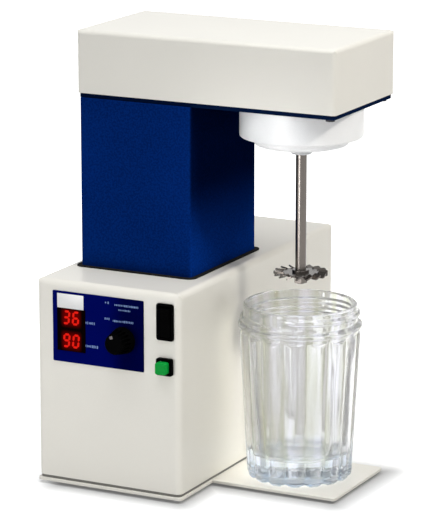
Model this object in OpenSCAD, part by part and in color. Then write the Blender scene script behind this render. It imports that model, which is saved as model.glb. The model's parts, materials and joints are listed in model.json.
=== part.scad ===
// Solubility index mixer: a bench mixer whose column and head sink into the base, so that a bladed
// impeller under a splash cap goes down into a lobed glass jar that stands on the base's platform.
// Millimetres, +Z up, controls towards -Y, platform towards +X. The origin is on the table, in the
// middle of the object's footprint.

/* [Base] */
// Width of the base housing, side to side
body_w = 132.5; // [126:0.5:145]
// Depth of the base housing, front to back
body_d = 291.5; // [285:0.5:310]
// Height of the base housing's shell
body_h = 167.5; // [164:0.5:176]
// Radius of the base housing's bent edges
body_r = 5; // [3:0.5:6]
// Thickness of the painted sheet of the housing, the column and the head cover
sheet_t = 1.5; // [1.2:0.1:2]
// Thickness of the base plate
plate_t = 2.7; // [2:0.1:4]
// How far the base plate stands out past the housing
plate_lip = 0.8; // [0.4:0.1:2]
// Radius of the base plate's corners
plate_r = 3; // [2:0.5:6]
// Thickness of the rubber gasket between the plate and the housing
gasket_t = 2.4; // [1.5:0.1:3.5]
// How far the gasket stays back from the housing's faces
gasket_inset = 0.8; // [0.4:0.1:1]
// Side of the square screw lugs in the corners of the housing
lug_w = 12; // [10:0.5:14]
// Height of the screw lugs in the housing, the column and the head cover
lug_h = 14; // [12:0.5:18]
// Height of the rubber feet
foot_h = 2.5; // [2.3:0.1:5]
// Diameter of the rubber feet
foot_d = 16; // [12:1:20]
// Distance from the plate's edges to the middle of the feet
foot_inset = 28; // [26:1:34]

/* [Platform] */
// Depth of the jar platform, front to back
platform_d = 95.8; // [92:0.2:104]
// Distance from the platform's front edge back to the spindle axis
platform_front = 48.9; // [46:0.1:52]
// Distance from the spindle axis to the platform's free end
platform_end = 54.9; // [52:0.1:60]

/* [Column] */
// Width of the column, side to side
column_w = 102.6; // [98:0.2:106]
// Depth of the column, front to back
column_d = 119.6; // [112:0.2:122]
// Height of the column that shows above the raised housing top
column_show = 141.6; // [136:0.2:148]
// Distance from the housing's left face to the column
column_inset = 12.5; // [9:0.5:13.5]
// Distance from the housing's front face to the column
column_setback = 52; // [51:0.5:60]
// Radius of the column's bent edges
column_r = 3; // [2.2:0.1:5]
// Room left between the lowered column and the base plate
column_floor_gap = 5.6; // [4:0.2:8]
// Width of the flange of the rubber seal round the column
seal_w = 2.6; // [2:0.1:4]
// Height of the seal above the housing
seal_h = 1; // [0.8:0.1:2]
// Room between the seal and the sliding column
seal_gap = 0.4; // [0.3:0.05:0.8]
// Thickness of the seal's neck in the housing opening
seal_neck = 1.2; // [0.8:0.1:2]
// Room between the lowered head and the seal
head_stop_gap = 1.1; // [0.4:0.1:2]

/* [Head] */
// Height of the head cover
head_h = 52.5; // [48:0.5:58]
// Radius of the head cover's bent edges
head_r = 3.5; // [2.5:0.1:6]
// How far the head reaches out past the column on the left
head_over = 3.4; // [2:0.1:8]
// How far the head's front and back stay inside the column's
head_inset = 2; // [1:0.1:4]
// Distance from the spindle axis to the head's nose
head_nose = 52.9; // [52:0.1:60]
// Thickness of the head plate
head_plate_t = 3.7; // [3:0.1:5]
// How far the head plate stays inside the head cover's outline
head_plate_inset = 1.2; // [0.5:0.1:1.5]

/* [Spindle and cap] */
// Distance from the housing's right face to the spindle axis
spindle_out = 57; // [56:0.2:64]
// Distance from the housing's front face to the spindle axis
spindle_setback = 104.5; // [103:0.5:110]
// Diameter of the stirrer shaft
shaft_d = 9; // [8:0.1:9.6]
// Diameter of the shaft in its bearings
journal_d = 10; // [10:0.5:11]
// Diameter of the shaft's stub under the impeller
stub_d = 6; // [5:0.1:6.5]
// Diameter of the splash cap
cap_d = 101; // [98:0.5:103]
// Wall of the splash cap
cap_wall = 4; // [3:0.1:5]
// Wall round the screw holes in the splash cap
cap_boss_wall = 3; // [2:0.1:4]
// Diameter of the cap's plug, which enters the jar
plug_d = 78; // [70:0.5:79]
// Height of the cap's plug
plug_h = 7; // [6:0.1:10]
// Radius of the plug's lower edge
plug_r = 3; // [1:0.1:3.5]
// Radius of the cap's lower edge
cap_r = 1.4; // [0.5:0.1:2]
// Diameter of the shaft seal under the cap
shaft_seal_d = 18; // [15:0.5:22]
// Step between the shaft seal's flange and its neck in the cap
shaft_seal_step = 2; // [1.5:0.1:2.5]
// Chamfer of the shaft seal's lower edge
shaft_seal_edge = 1; // [0.5:0.1:1.5]
// How far the shaft seal reaches below the plug
shaft_seal_drop = 8; // [5:0.1:10]
// Room between the shaft and the seal's bore
shaft_seal_gap = 0.4; // [0.3:0.05:0.8]
// Room left between the cap and the rim of the jar when the head is down
lid_gap = 0.3; // [0.3:0.05:1]
// Outer diameter of the spindle bearings
bearing_d = 26; // [26:0.5:30]
// Width of the spindle bearings
bearing_h = 8; // [7:0.5:9]
// Radial thickness of the bearing rings
bearing_ring_t = 2.4; // [2:0.1:2.6]
// Diameter of the bearing balls
bearing_ball_d = 4.6; // [4:0.1:4.8]
// Number of balls in a bearing
bearing_balls = 8; // [6:1:8]
// Room between the balls and the inner race
race_gap = 0.1; // [0.05:0.01:0.1]
// Wall of the bearing housing
bearing_wall = 5; // [4:0.5:7]
// Diameter of the bearing housing's flange
bearing_flange_d = 56; // [54:1:62]
// Thickness of the bearing housing's flange
bearing_flange_t = 5; // [4:0.5:7]
// Distance between the two spindle bearings
bearing_span = 14; // [12:0.5:15]

/* [Impeller] */
// Diameter over the impeller's blades
impeller_d = 44.5; // [42:0.5:46]
// Number of blades
blade_count = 16; // [12:1:18]
// Slope of the blades against the disc
blade_angle = 30; // [25:1:35]
// Width of a blade across its slope
blade_w = 6.6; // [6:0.1:7]
// Thickness of the blades and the disc
blade_t = 1.2; // [1:0.1:1.4]
// Radial length of a blade
blade_l = 7.5; // [6:0.1:8]
// Diameter of the impeller's hub
hub_d = 14; // [12:0.5:16]
// Height of the impeller's hub above and below its middle
hub_h = 6; // [5:0.2:8]
// Height of the impeller above the jar's floor when the head is down
impeller_gap = 11.4; // [10:0.2:14]
// Width across the flats of the impeller's nut
nut_w = 10; // [9:0.5:11]
// Height of the impeller's nut
nut_h = 5; // [4:0.5:6]

/* [Jar] */
// Height of the jar
jar_h = 147; // [143:0.5:150]
// Thickness of the jar's foot
jar_floor = 19; // [16:0.5:21]
// Radius over the lobes at the shoulder
jar_shoulder_r = 50.2; // [49.5:0.1:50.8]
// Radius over the lobes at the foot
jar_foot_r = 43.5; // [42.5:0.1:45]
// Height of the lobed body up to the shoulder
jar_body_h = 120; // [115:0.5:121]
// Height of the shoulder's curve
shoulder_h = 4.5; // [3:0.5:5]
// Number of lobes round the jar
lobe_count = 16; // [14:1:18]
// Angle of the first groove between two lobes, from the right
lobe_turn = 9; // [0:1:20]
// Radius of a lobe
lobe_r = 16; // [14:0.5:18]
// Radius of the jar's lower edge
jar_edge_r = 4; // [2:0.5:5]
// Radius of the neck
neck_r = 47; // [46.2:0.1:47.8]
// Radius of the neck's collar, between the shoulder and the thread
collar_r = 48; // [47.4:0.1:48.6]
// Radius over the thread's upper turn
thread_r = 49.6; // [48.8:0.1:50.2]
// Radius over the thread's lower turn
bead_r = 51.3; // [50:0.1:51.6]
// Height of the flat crest of the turns
thread_crest = 1.6; // [1:0.1:2]
// Height of one turn of the thread
thread_h = 5; // [4:0.1:5.4]
// Distance between the turns of the thread
thread_pitch = 10.2; // [9.6:0.1:10.6]
// Distance from the rim down to the upper turn
thread_top = 5; // [4:0.1:6]
// Radius of the rim's edge
rim_r = 1.6; // [1:0.1:2]
// Inner radius of the mouth
mouth_r = 42.5; // [41.5:0.1:43]
// Height at which the inside reaches the mouth's width
cavity_h = 112.5; // [100:0.5:120]
// Inner radius at the jar's floor
cavity_foot_r = 35; // [32:0.1:36]
// Radius between the jar's wall and its floor
cavity_edge_r = 8; // [5:0.5:12]
// Depth of the hollow under the foot
jar_push = 1.5; // [1:0.1:2.5]
// Radius of the hollow under the foot
jar_push_r = 33; // [30:0.5:34]

/* [Control panel] */
// Width of the control panel
panel_w = 84.3; // [82:0.1:86]
// Height of the control panel
panel_h = 59.5; // [58:0.5:64]
// Thickness of the control panel
panel_t = 0.8; // [0.5:0.1:1.5]
// Distance from the housing's left face to the panel
panel_left = 15.5; // [12:0.5:17]
// Distance from the housing's top to the panel
panel_top = 8.6; // [7:0.1:10]
// Radius of the panel's corners
panel_r = 1; // [0.5:0.1:2]
// Width of the display window
window_w = 26.4; // [25.5:0.1:28]
// Height of the display window
window_h = 36; // [35:0.1:38]
// Distance from the panel's left edge to the window
window_left = 4.2; // [3:0.1:6]
// Distance from the panel's top edge to the window
window_top = 14; // [12:0.1:16]
// How far the window stands out of the panel
window_proud = 0.4; // [0.2:0.1:1]
// Width of a two-digit display
digits_w = 24; // [22:0.5:25]
// Height of a two-digit display
digits_h = 16; // [14:0.5:17]
// Depth of a two-digit display
digits_t = 8; // [7:0.5:9]
// Border round a digit's cell
digit_border = 1.5; // [1:0.1:2]
// Depth of a digit's cell
digit_cell_t = 1; // [0.5:0.1:2]
// Width of the control board
board_w = 50; // [46:0.5:52]
// Height of the control board
board_h = 56; // [54:0.5:58]
// Thickness of the circuit boards
board_t = 1.6; // [1:0.1:2]
// Diameter of the circuit boards' spacers
spacer_d = 6; // [5:0.5:7]
// Diameter of the spacers' pegs in the boards
peg_d = 2; // [1.5:0.1:2.5]
// Distance from a board's edges to its spacers
board_margin = 4; // [3.5:0.1:5]
// How far the control board's middle lies right of the window's middle
board_shift = 6; // [4:0.5:8]

/* [Selector knob] */
// Distance from the panel's right edge to the knob axis
knob_right = 17.3; // [15:0.1:19]
// Distance from the panel's top edge to the knob axis
knob_down = 34; // [30:0.5:36]
// Diameter of the knob at its foot
knob_d = 22.5; // [20:0.5:24]
// Diameter of the knob at its face
knob_face_d = 17; // [15.5:0.5:17.5]
// Length of the knob
knob_l = 16; // [14:0.5:18]
// Distance from the panel to the knob
knob_gap = 3.2; // [3:0.1:4]
// Chamfer round the knob's face
knob_edge = 1; // [0.5:0.1:1.5]
// Depth of the recess under the knob
knob_recess = 2; // [1.5:0.1:3]
// Thickness of the knob's face in front of its spindle
knob_face_t = 5; // [4:0.1:6]
// Number of grip flutes round the knob
knob_flutes = 18; // [14:1:20]
// Radius of a grip flute
knob_flute_r = 1.2; // [0.8:0.1:1.3]
// Angle of the pointer at rest, left of upright
knob_rest = 20; // [0:5:60]
// Width of the pointer mark
pointer_w = 2.8; // [1.6:0.1:3.2]
// Length of the pointer mark
pointer_l = 2.4; // [2:0.1:5]
// Distance from the edge of the knob's face to the pointer mark
pointer_edge = 0.2; // [0.1:0.1:1]
// Depth of the pointer mark's groove
pointer_t = 0.8; // [0.5:0.1:1.2]
// Diameter of the selector's spindle
knob_shaft_d = 6; // [5:0.1:6.2]
// Room between the spindle and its bush
knob_shaft_gap = 0.05; // [0.03:0.01:0.1]
// Diameter of the selector's bush
bush_d = 9; // [8:0.1:10]
// Width across the flats of the bush's nut
bush_nut_w = 12; // [11.5:0.1:12.5]
// Height of the bush's nut
bush_nut_h = 2; // [1.5:0.1:2.4]
// Diameter of the selector's body
selector_d = 17; // [15:0.5:19]
// Depth of the selector's body
selector_l = 10; // [8:0.5:14]

/* [Power switch] */
// Distance from the housing's right face to the switch and button axis
switch_right = 13; // [12:0.1:15]
// Distance from the housing's top to the switch
switch_top = 8.4; // [8:0.1:10]
// Width of the switch's frame
switch_w = 15.6; // [15:0.1:18]
// Height of the switch's frame
switch_h = 30.6; // [30:0.1:32]
// How far the switch's frame stands out
switch_proud = 1.8; // [1.2:0.1:2.5]
// Corner radius of the switch's frame
switch_r = 2.2; // [1:0.1:2.6]
// Corner radius of the bezel and the button
control_r = 1.6; // [0.6:0.1:2]
// Border of the switch's frame
switch_border = 2.2; // [2:0.1:2.6]
// Depth of the switch behind the housing's wall
switch_depth = 24; // [20:0.5:28]
// Height of the rocker's ends in front of its pivot
rocker_rise = 6.5; // [6:0.1:7]
// Height of the rocker's middle in front of its pivot
rocker_dip = 5.2; // [4.5:0.1:5.8]
// Depth of the rocker behind its pivot
rocker_back = 2.2; // [2:0.1:3]
// Room at the rocker's ends for its swing
rocker_end_gap = 1.3; // [1.2:0.1:1.6]
// Angle of the rocker to either side of its middle
rocker_angle = 9; // [6:0.5:10]
// Room between the rocker and its frame
rocker_gap = 0.4; // [0.3:0.05:0.6]
// Diameter of the rocker's pivot
rocker_pin_d = 3; // [2.5:0.1:3.5]
// Length of the rocker's pivot in the frame
rocker_pin_l = 1; // [0.8:0.1:1.2]
// Room round the rocker's pivot
rocker_pin_gap = 0.05; // [0.03:0.01:0.1]

/* [Start button] */
// Distance from the switch's lower edge down to the button axis
button_down = 21.6; // [19:0.1:22]
// Side of the button's square bezel
bezel_w = 14.2; // [13.6:0.1:18]
// How far the bezel stands out
bezel_proud = 4; // [3.6:0.1:5]
// Side of the button's square cap
button_w = 9.6; // [9:0.1:12.4]
// How far the button's cap stands out of the housing
button_proud = 10; // [9:0.1:11]
// Travel of the button
button_travel = 3; // [2:0.1:3.2]
// Room between the button's cap and its bezel
button_gap = 0.35; // [0.3:0.05:0.6]
// Length of the button's barrel behind the housing's wall
barrel_l = 24; // [20:0.5:30]
// Diameter of the button's stem
stem_d = 6; // [5:0.1:7]
// Wall of the barrel's nut
barrel_nut_wall = 2; // [1.5:0.1:2.5]
// Room between the barrel's nut and the housing's bent edge
barrel_nut_gap = 0.4; // [0.3:0.1:1]
// Height of the barrel's nut
barrel_nut_h = 3; // [2:0.5:4]

/* [Mains inlet] */
// Width of the inlet's flange
inlet_w = 50; // [48:0.5:52]
// Height of the inlet's flange
inlet_h = 24; // [22.5:0.5:26]
// Thickness of the inlet's flange
inlet_t = 3; // [2:0.1:4]
// Distance between the inlet's two screws
inlet_screw_span = 40; // [39:0.5:41]
// Width of the inlet's socket
socket_w = 24.5; // [24:0.1:25]
// Height of the inlet's socket
socket_h = 16.5; // [16:0.1:17]
// Depth of the inlet's socket
socket_l = 17; // [16:0.1:18]
// Wall round the socket
socket_wall = 1.8; // [1.5:0.1:2]
// Corner radius of the inlet's flange
inlet_r = 3; // [2:0.5:4]
// Side of the cut-off corners of the socket
socket_corner = 4; // [3:0.5:5]
// Height of the inlet's middle above the housing's lower edge
inlet_up = 84; // [80:1:100]
// Length of the inlet's contact blades
contact_l = 9; // [8:0.5:10]
// Thickness of the inlet's contact blades
contact_t = 2; // [1.8:0.1:2.2]
// Width of the inlet's contact blades
contact_w = 4; // [3.5:0.1:4.5]
// Distance between neighbouring contact blades, side to side
contact_pitch = 7; // [6.5:0.1:7.5]
// Height of the middle contact blade above the inlet's middle, and of the others below it
contact_rise = 2; // [1.5:0.1:2.5]

/* [Lifting guide] */
// Diameter of the guide rods
rod_d = 12; // [10:0.5:12]
// Distance from the column's front and back faces to the guide rods
rod_inset = 13; // [12.5:0.1:14]
// Outer diameter of the guide bushes
rod_bush_d = 18; // [17:0.5:19]
// Length of the guide bushes
rod_bush_l = 21; // [18:0.5:22]
// Room between the guide rods and their bushes
rod_gap = 0.05; // [0.03:0.01:0.1]
// Thickness of the carriage plate in the column's lower end
carriage_t = 10; // [9:0.5:12]
// Diameter of the cable opening in the carriage plate
cable_hole_d = 30; // [24:1:40]

/* [Drive] */
// Diameter of the motor
motor_d = 62; // [56:1:64]
// Length of the motor
motor_l = 95; // [85:1:100]
// Diameter of the motor's shaft
motor_shaft_d = 8; // [7:0.5:9]
// Length of shaft inside the motor
motor_shaft_in = 30; // [25:1:40]
// Length of the motor's end caps
motor_end_l = 19; // [15:0.5:22]
// Width of the grooves between the motor's end caps and its shell
motor_groove_w = 2; // [1.5:0.1:3]
// Diameter of the motor's centring boss
motor_boss_d = 30; // [28:0.5:32]
// Diameter of the motor's screw circle
motor_pcd = 46; // [44:0.5:48]
// Room between the turning shafts and the fixed pieces round them
turn_gap = 1; // [0.5:0.1:2]
// Diameter of the pulleys under the belt
pulley_d = 36; // [32:1:40]
// Width of the drive belt
belt_w = 10; // [8:0.5:12]
// Thickness of the drive belt
belt_t = 2; // [1.5:0.1:2.5]
// Room between the belt and the pulleys
belt_gap = 0.3; // [0.3:0.05:0.5]
// Height of the pulleys' flanges beside the belt
pulley_flange_t = 1.5; // [1.2:0.1:2]
// How far the pulleys' flanges reach out past the belt
pulley_flange_over = 1.5; // [1:0.1:2]
// Diameter of the pulleys' hubs
pulley_hub_d = 20; // [18:0.5:22]
// Height of the pulleys' hubs under the lower flange
pulley_hub_h = 3; // [2:0.5:4]

/* [Power electronics] */
// Width of the transformer
transformer_w = 66; // [60:1:72]
// Depth of the transformer
transformer_d = 50; // [44:1:52]
// Height of the transformer
transformer_h = 56; // [50:1:60]
// Width of the transformer's outer legs
transformer_leg = 11; // [10:0.5:12]
// Room between the transformer's coil and its core
coil_gap = 0.5; // [0.3:0.1:1]
// How far the transformer's coil stands out of its core
coil_proud = 3; // [2:0.5:3.5]
// Room between the drive board and the gasket beside it
drive_side_gap = 1.5; // [1:0.5:5]
// Room between the lowered column and the drive board
drive_front_gap = 6; // [3:0.5:12]
// Room between the transformer and the gasket behind it
rear_gap = 2; // [1:0.5:4]
// Room between the drive board and the transformer
drive_gap = 5; // [4.5:0.5:7]
// Distance from the drive board's ends to the heat sink
sink_margin = 18; // [15:1:22]
// Height of the drive board's spacers
drive_up = 8; // [6:0.5:12]
// Height of the heat sink on the drive board
sink_h = 30; // [24:1:36]
// Distance from the drive board's front and back edges to the heat sink
sink_edge = 2; // [1:0.5:4]
// Number of fins on the heat sink
sink_fins = 9; // [7:1:10]
// Thickness of a fin
fin_t = 1.8; // [1.5:0.1:2]
// Thickness of the heat sink's foot
sink_foot_t = 4; // [3:0.5:5]

/* [Fasteners] */
// Thread diameter of the screws
screw_d = 4; // [3:0.1:4.2]
// Diameter of the screw heads
screw_head_d = 7.4; // [7:0.1:8]
// Height of the screw heads
screw_head_h = 2; // [1.5:0.1:2.2]
// Depth of the screws' hexagon sockets
screw_key_h = 1.2; // [0.8:0.1:1.4]
// Width across the flats of the screws' sockets
screw_key_w = 2.5; // [2:0.1:3]
// Room round the screws in their holes
screw_gap = 0.2; // [0.1:0.05:0.3]
// Length of screw in its threaded lug
screw_bite = 8; // [6:0.5:9]

/* [Hidden] */
$fn = 64;
// Overrun of a cut past the faces that it opens
cut = 1;
// Diameter of a hexagon's corners for a flat width of 1
hex_corner = 2 / sqrt(3);

// Plan of the base, with the origin in the middle of the footprint
platform_out = spindle_out + platform_end;
knob_proud = panel_t + knob_gap + knob_l;
box_w = plate_lip + body_w + platform_out;
box_d = knob_proud + body_d + inlet_t;
plate_x0 = -box_w / 2;
body_x0 = plate_x0 + plate_lip;
body_x1 = body_x0 + body_w;
front_y = knob_proud - box_d / 2;
back_y = front_y + body_d;
spindle_x = body_x1 + spindle_out;
spindle_y = front_y + spindle_setback;
platform_x1 = body_x1 + platform_out;
platform_y0 = spindle_y - platform_front;

// Heights from the table up
plate_top = foot_h + plate_t;
body_z0 = plate_top + gasket_t;
body_top = body_z0 + body_h;
head_z0 = body_top + column_show;
cover_z0 = head_z0 + head_plate_t;
lift_travel = column_show - seal_h - head_stop_gap;

// Plan of the column and the head
column_x0 = body_x0 + column_inset;
column_y0 = front_y + column_setback;
column_z0 = plate_top + column_floor_gap + lift_travel;
column_x = column_x0 + column_w / 2;
column_y1 = column_y0 + column_d;
head_x0 = column_x0 - head_over;
head_x1 = spindle_x + head_nose;
head_y0 = column_y0 + head_inset;
head_w = head_x1 - head_x0;
head_d = column_d - 2 * head_inset;
cover_lug_x = [column_x0 + sheet_t + 2 * lug_w, head_x1 - sheet_t - lug_w];
cover_lug_y = [head_y0 + sheet_t, head_y0 + head_d - sheet_t - lug_w];

// Jar, cap and impeller along the spindle axis
jar_z0 = plate_top;
jar_rim = jar_z0 + jar_h;
shoulder_z = jar_rim + lift_travel + lid_gap;
plug_z = shoulder_z - plug_h;
shaft_seal_z = plug_z - shaft_seal_drop;
blade_h = blade_w * sin(blade_angle) + blade_t * cos(blade_angle);
blade_z = jar_z0 + jar_floor + impeller_gap + lift_travel + blade_h / 2;
hub_z0 = blade_z - hub_h / 2;
hub_z1 = blade_z + hub_h / 2;

// Spindle bearings, pulleys and motor
bearing_z0 = cover_z0 - bearing_span;
bearing_z1 = cover_z0;
bearing_tube_z0 = bearing_z0 - bearing_wall;
bearing_tube_z1 = bearing_z1 + bearing_h + sheet_t;
bearing_tube_d = bearing_d + 2 * bearing_wall;
bearing_bore_d = journal_d + 2 * bearing_ring_t;
bearing_race_d = (journal_d + bearing_d) / 2;
pulley_z0 = bearing_tube_z1 + turn_gap;
flange_z0 = pulley_z0 + pulley_hub_h;
belt_z0 = flange_z0 + pulley_flange_t + belt_gap;
pulley_z1 = belt_z0 + belt_w + belt_gap + pulley_flange_t;
pulley_flange_d = pulley_d + 2 * (belt_gap + belt_t + pulley_flange_over);
motor_x = column_x;
motor_y = spindle_y;
motor_z0 = head_z0 - motor_l;
journal_z0 = bearing_z0 - turn_gap;

// Front controls
panel_x0 = body_x0 + panel_left;
panel_z1 = body_top - panel_top;
panel_z0 = panel_z1 - panel_h;
panel_y = front_y - panel_t;
inner_y = front_y + sheet_t;
window_x0 = panel_x0 + window_left;
window_z0 = panel_z1 - window_top - window_h;
board_x0 = window_x0 + window_w / 2 - board_w / 2 + board_shift;
board_z0 = window_z0 + window_h / 2 - board_h / 2;
board_y = inner_y + digits_t;
board_holes = [for (x = [board_margin, board_w - board_margin], z = [board_margin, board_h - board_margin])
    [board_x0 + x, board_z0 + z]];
knob_x = panel_x0 + panel_w - knob_right;
knob_z = panel_z1 - knob_down;
knob_y0 = panel_y - knob_gap - knob_l;
switch_x = body_x1 - switch_right;
switch_z = body_top - switch_top - switch_h / 2;
switch_open = [switch_w - 2 * switch_border, switch_h - 2 * switch_border];
button_z = switch_z - switch_h / 2 - button_down;
barrel_nut_d = 2 * (switch_right - body_r - barrel_nut_gap);
barrel_d = barrel_nut_d - 2 * barrel_nut_wall;

// Rocker, measured from its pivot
rocker_w = switch_open[0] - 2 * rocker_gap;
rocker_end = switch_open[1] / 2 - rocker_end_gap;
pivot_y = front_y - switch_proud + rocker_rise - rocker_end * sin(rocker_angle);

// Fasteners
screw_hole_d = screw_d + 2 * screw_gap;
lug_mid = sheet_t + lug_w / 2;
housing_lugs = [for (x = [body_x0 + lug_mid, body_x1 - lug_mid],
    y = [front_y + lug_mid, back_y - lug_mid]) [x, y]];
column_lugs = [for (x = [column_x0 + lug_mid, column_x0 + column_w - lug_mid],
    y = [column_y0 + lug_mid, column_y1 - lug_mid]) [x, y]];
cover_lugs = [for (x = cover_lug_x, y = cover_lug_y) [x + lug_w / 2, y + lug_w / 2]];
column_cover_lugs = [for (p = cover_lugs) if (p[0] < column_x0 + column_w) p];
rods = [for (y = [column_y0 + rod_inset, column_y1 - rod_inset]) [column_x, y]];
cap_boss_d = screw_d + 2 * cap_boss_wall;
cap_boss_r = cap_d / 2 - cap_wall / 2 - cap_boss_d / 2;
cap_screw_at = [for (a = [30, 150, 270])
    [spindle_x + cap_boss_r * cos(a), spindle_y + cap_boss_r * sin(a)]];
bearing_screw_r = (bearing_flange_d + bearing_tube_d) / 4;
bearing_screw_at = [for (a = [0, 90, 180, 270])
    [spindle_x + bearing_screw_r * cos(a), spindle_y + bearing_screw_r * sin(a)]];
motor_screw_at = [for (a = [45, 135, 225, 315])
    [motor_x + motor_pcd / 2 * cos(a), motor_y + motor_pcd / 2 * sin(a)]];

// Rear compartment, behind the column's path
transformer_x0 = body_x0 + (body_w - transformer_w) / 2;
transformer_y0 = back_y - sheet_t - lug_w - rear_gap - transformer_d;
drive_x0 = body_x0 + sheet_t + lug_w + drive_side_gap;
drive_w = body_w - 2 * (sheet_t + lug_w + drive_side_gap);
drive_y0 = column_y1 + drive_front_gap;
drive_d = transformer_y0 - drive_gap - drive_y0;
drive_z0 = plate_top + drive_up;
drive_holes = [for (x = [board_margin, drive_w - board_margin], y = [board_margin, drive_d - board_margin])
    [drive_x0 + x, drive_y0 + y]];
sink_x0 = drive_x0 + sink_margin;
sink_w = drive_w - 2 * sink_margin;
sink_d = drive_d - 2 * sink_edge;
inlet_x = body_x0 + body_w / 2;
inlet_z = body_z0 + inlet_up;

// Box between two corners
module span(low, high) translate(low) cube(high - low);

// Rectangle from the origin corner with round corners
module rounded_rect(size, r) {
    translate([r, 0]) square([size[0] - 2 * r, size[1]]);
    translate([0, r]) square([size[0], size[1] - 2 * r]);
    for (x = [r, size[0] - r], y = [r, size[1] - r]) translate([x, y]) circle(r);
}

// Upright prism with round corners, from a low corner
module rounded_prism(low, size, r) translate(low) linear_extrude(size[2])
    rounded_rect([size[0], size[1]], r);

// Box of bent sheet: the upright edges and the top edges are round, the lower edges square
module bent_box(low, size, r) translate(low) intersection() {
    linear_extrude(size[2]) rounded_rect([size[0], size[1]], r);
    translate([0, size[1], -r]) rotate([90, 0, 0]) linear_extrude(size[1])
        rounded_rect([size[0], size[2] + r], r);
    translate([0, 0, -r]) rotate([90, 0, 90]) linear_extrude(size[0])
        rounded_rect([size[1], size[2] + r], r);
}

// Cylinder along +Y from a point
module rod_y(at, d, l) translate(at) rotate([-90, 0, 0]) cylinder(d = d, h = l);

// Upright hole or rod between two heights
module rod_z(at, d, z0, z1) translate([at[0], at[1], z0]) cylinder(d = d, h = z1 - z0);

// Socket screw whose head's bearing face is at the origin, with the head above and the shank below
module screw(l) {
    difference() {
        cylinder(d = screw_head_d, h = screw_head_h);
        translate([0, 0, screw_head_h - screw_key_h])
            cylinder(d = screw_key_w * hex_corner, h = screw_key_h + cut, $fn = 6);
    }
    translate([0, 0, -l]) cylinder(d = screw_d, h = l);
}

module screw_down(at, z, l) translate([at[0], at[1], z]) screw(l);

module screw_up(at, z, l) translate([at[0], at[1], z]) mirror([0, 0, 1]) screw(l);

// Square lugs with a blind screw hole from above or below
module lugs(at, z0, h) for (p = at) difference() {
    translate([p[0] - lug_w / 2, p[1] - lug_w / 2, z0]) cube([lug_w, lug_w, h]);
    rod_z(p, screw_hole_d, z0 - cut, z0 + h + cut);
}

// Base body

module base_plate() color("#e3dfd3") difference() {
    union() {
        rounded_prism([plate_x0, front_y - plate_lip, foot_h],
            [body_w + 2 * plate_lip, body_d + 2 * plate_lip, plate_t], plate_r);
        rounded_prism([body_x1 - 2 * plate_r, platform_y0, foot_h],
            [platform_out + 2 * plate_r, platform_d, plate_t], plate_r);
    }
    for (p = concat(housing_lugs, rods)) rod_z(p, screw_hole_d, foot_h - cut, plate_top + cut);
}

module rubber_feet() color("#1c1c1e") {
    for (x = [body_x0 + foot_inset, body_x1 - foot_inset], y = [front_y + foot_inset, back_y - foot_inset])
        rod_z([x, y], foot_d, 0, foot_h);
    for (y = [platform_y0 + foot_d, platform_y0 + platform_d - foot_d])
        rod_z([platform_x1 - foot_d, y], foot_d, 0, foot_h);
}

module base_gasket() {
    strip = sheet_t + lug_w - gasket_inset;
    outer = [body_w - 2 * gasket_inset, body_d - 2 * gasket_inset];
    color("#2a2823") difference() {
        rounded_prism([body_x0 + gasket_inset, front_y + gasket_inset, plate_top],
            [outer[0], outer[1], gasket_t], body_r - gasket_inset);
        span([body_x0 + gasket_inset + strip, front_y + gasket_inset + strip, plate_top - cut],
            [body_x1 - gasket_inset - strip, back_y - gasket_inset - strip, body_z0 + cut]);
        for (p = housing_lugs) rod_z(p, screw_hole_d, plate_top - cut, body_z0 + cut);
    }
}

module base_housing() color("#e6e2d6") {
    difference() {
        bent_box([body_x0, front_y, body_z0], [body_w, body_d, body_h], body_r);
        bent_box([body_x0 + sheet_t, front_y + sheet_t, body_z0 - cut],
            [body_w - 2 * sheet_t, body_d - 2 * sheet_t, body_h - sheet_t + cut], body_r - sheet_t);
        column_opening();
        front_openings();
        inlet_opening();
    }
    lugs(housing_lugs, body_z0, lug_h);
}

// Opening in the housing's top for the seal's neck
module column_opening() {
    room = seal_gap + seal_neck;
    rounded_prism([column_x0 - room, column_y0 - room, body_top - sheet_t - cut],
        [column_w + 2 * room, column_d + 2 * room, sheet_t + 2 * cut], column_r + room);
}

// Openings in the housing's front for the window, the selector, the switch and the button
module front_openings() {
    span([window_x0, front_y - cut, window_z0],
        [window_x0 + window_w, inner_y + cut, window_z0 + window_h]);
    rod_y([knob_x, front_y - cut, knob_z], bush_d + 2 * screw_gap, sheet_t + 2 * cut);
    switch_opening(front_y - cut, inner_y + cut);
    rod_y([switch_x, front_y - cut, button_z], barrel_d + 2 * screw_gap, sheet_t + 2 * cut);
}

module switch_opening(y0, y1) {
    room = rocker_pin_l + screw_gap;
    half = [switch_open[0] / 2 + room, switch_open[1] / 2 + room];
    span([switch_x - half[0], y0, switch_z - half[1]], [switch_x + half[0], y1, switch_z + half[1]]);
}

module inlet_opening() {
    half = [socket_w / 2 + socket_wall + screw_gap, socket_h / 2 + socket_wall + screw_gap];
    span([inlet_x - half[0], back_y - sheet_t - cut, inlet_z - half[1]],
        [inlet_x + half[0], back_y + cut, inlet_z + half[1]]);
    for (s = [-1, 1])
        rod_y([inlet_x + s * inlet_screw_span / 2, back_y - sheet_t - cut, inlet_z], screw_hole_d,
            sheet_t + 2 * cut);
}

module base_screws() color("#8f9296")
    for (p = housing_lugs) screw_up(p, foot_h, plate_t + gasket_t + screw_bite);

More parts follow.
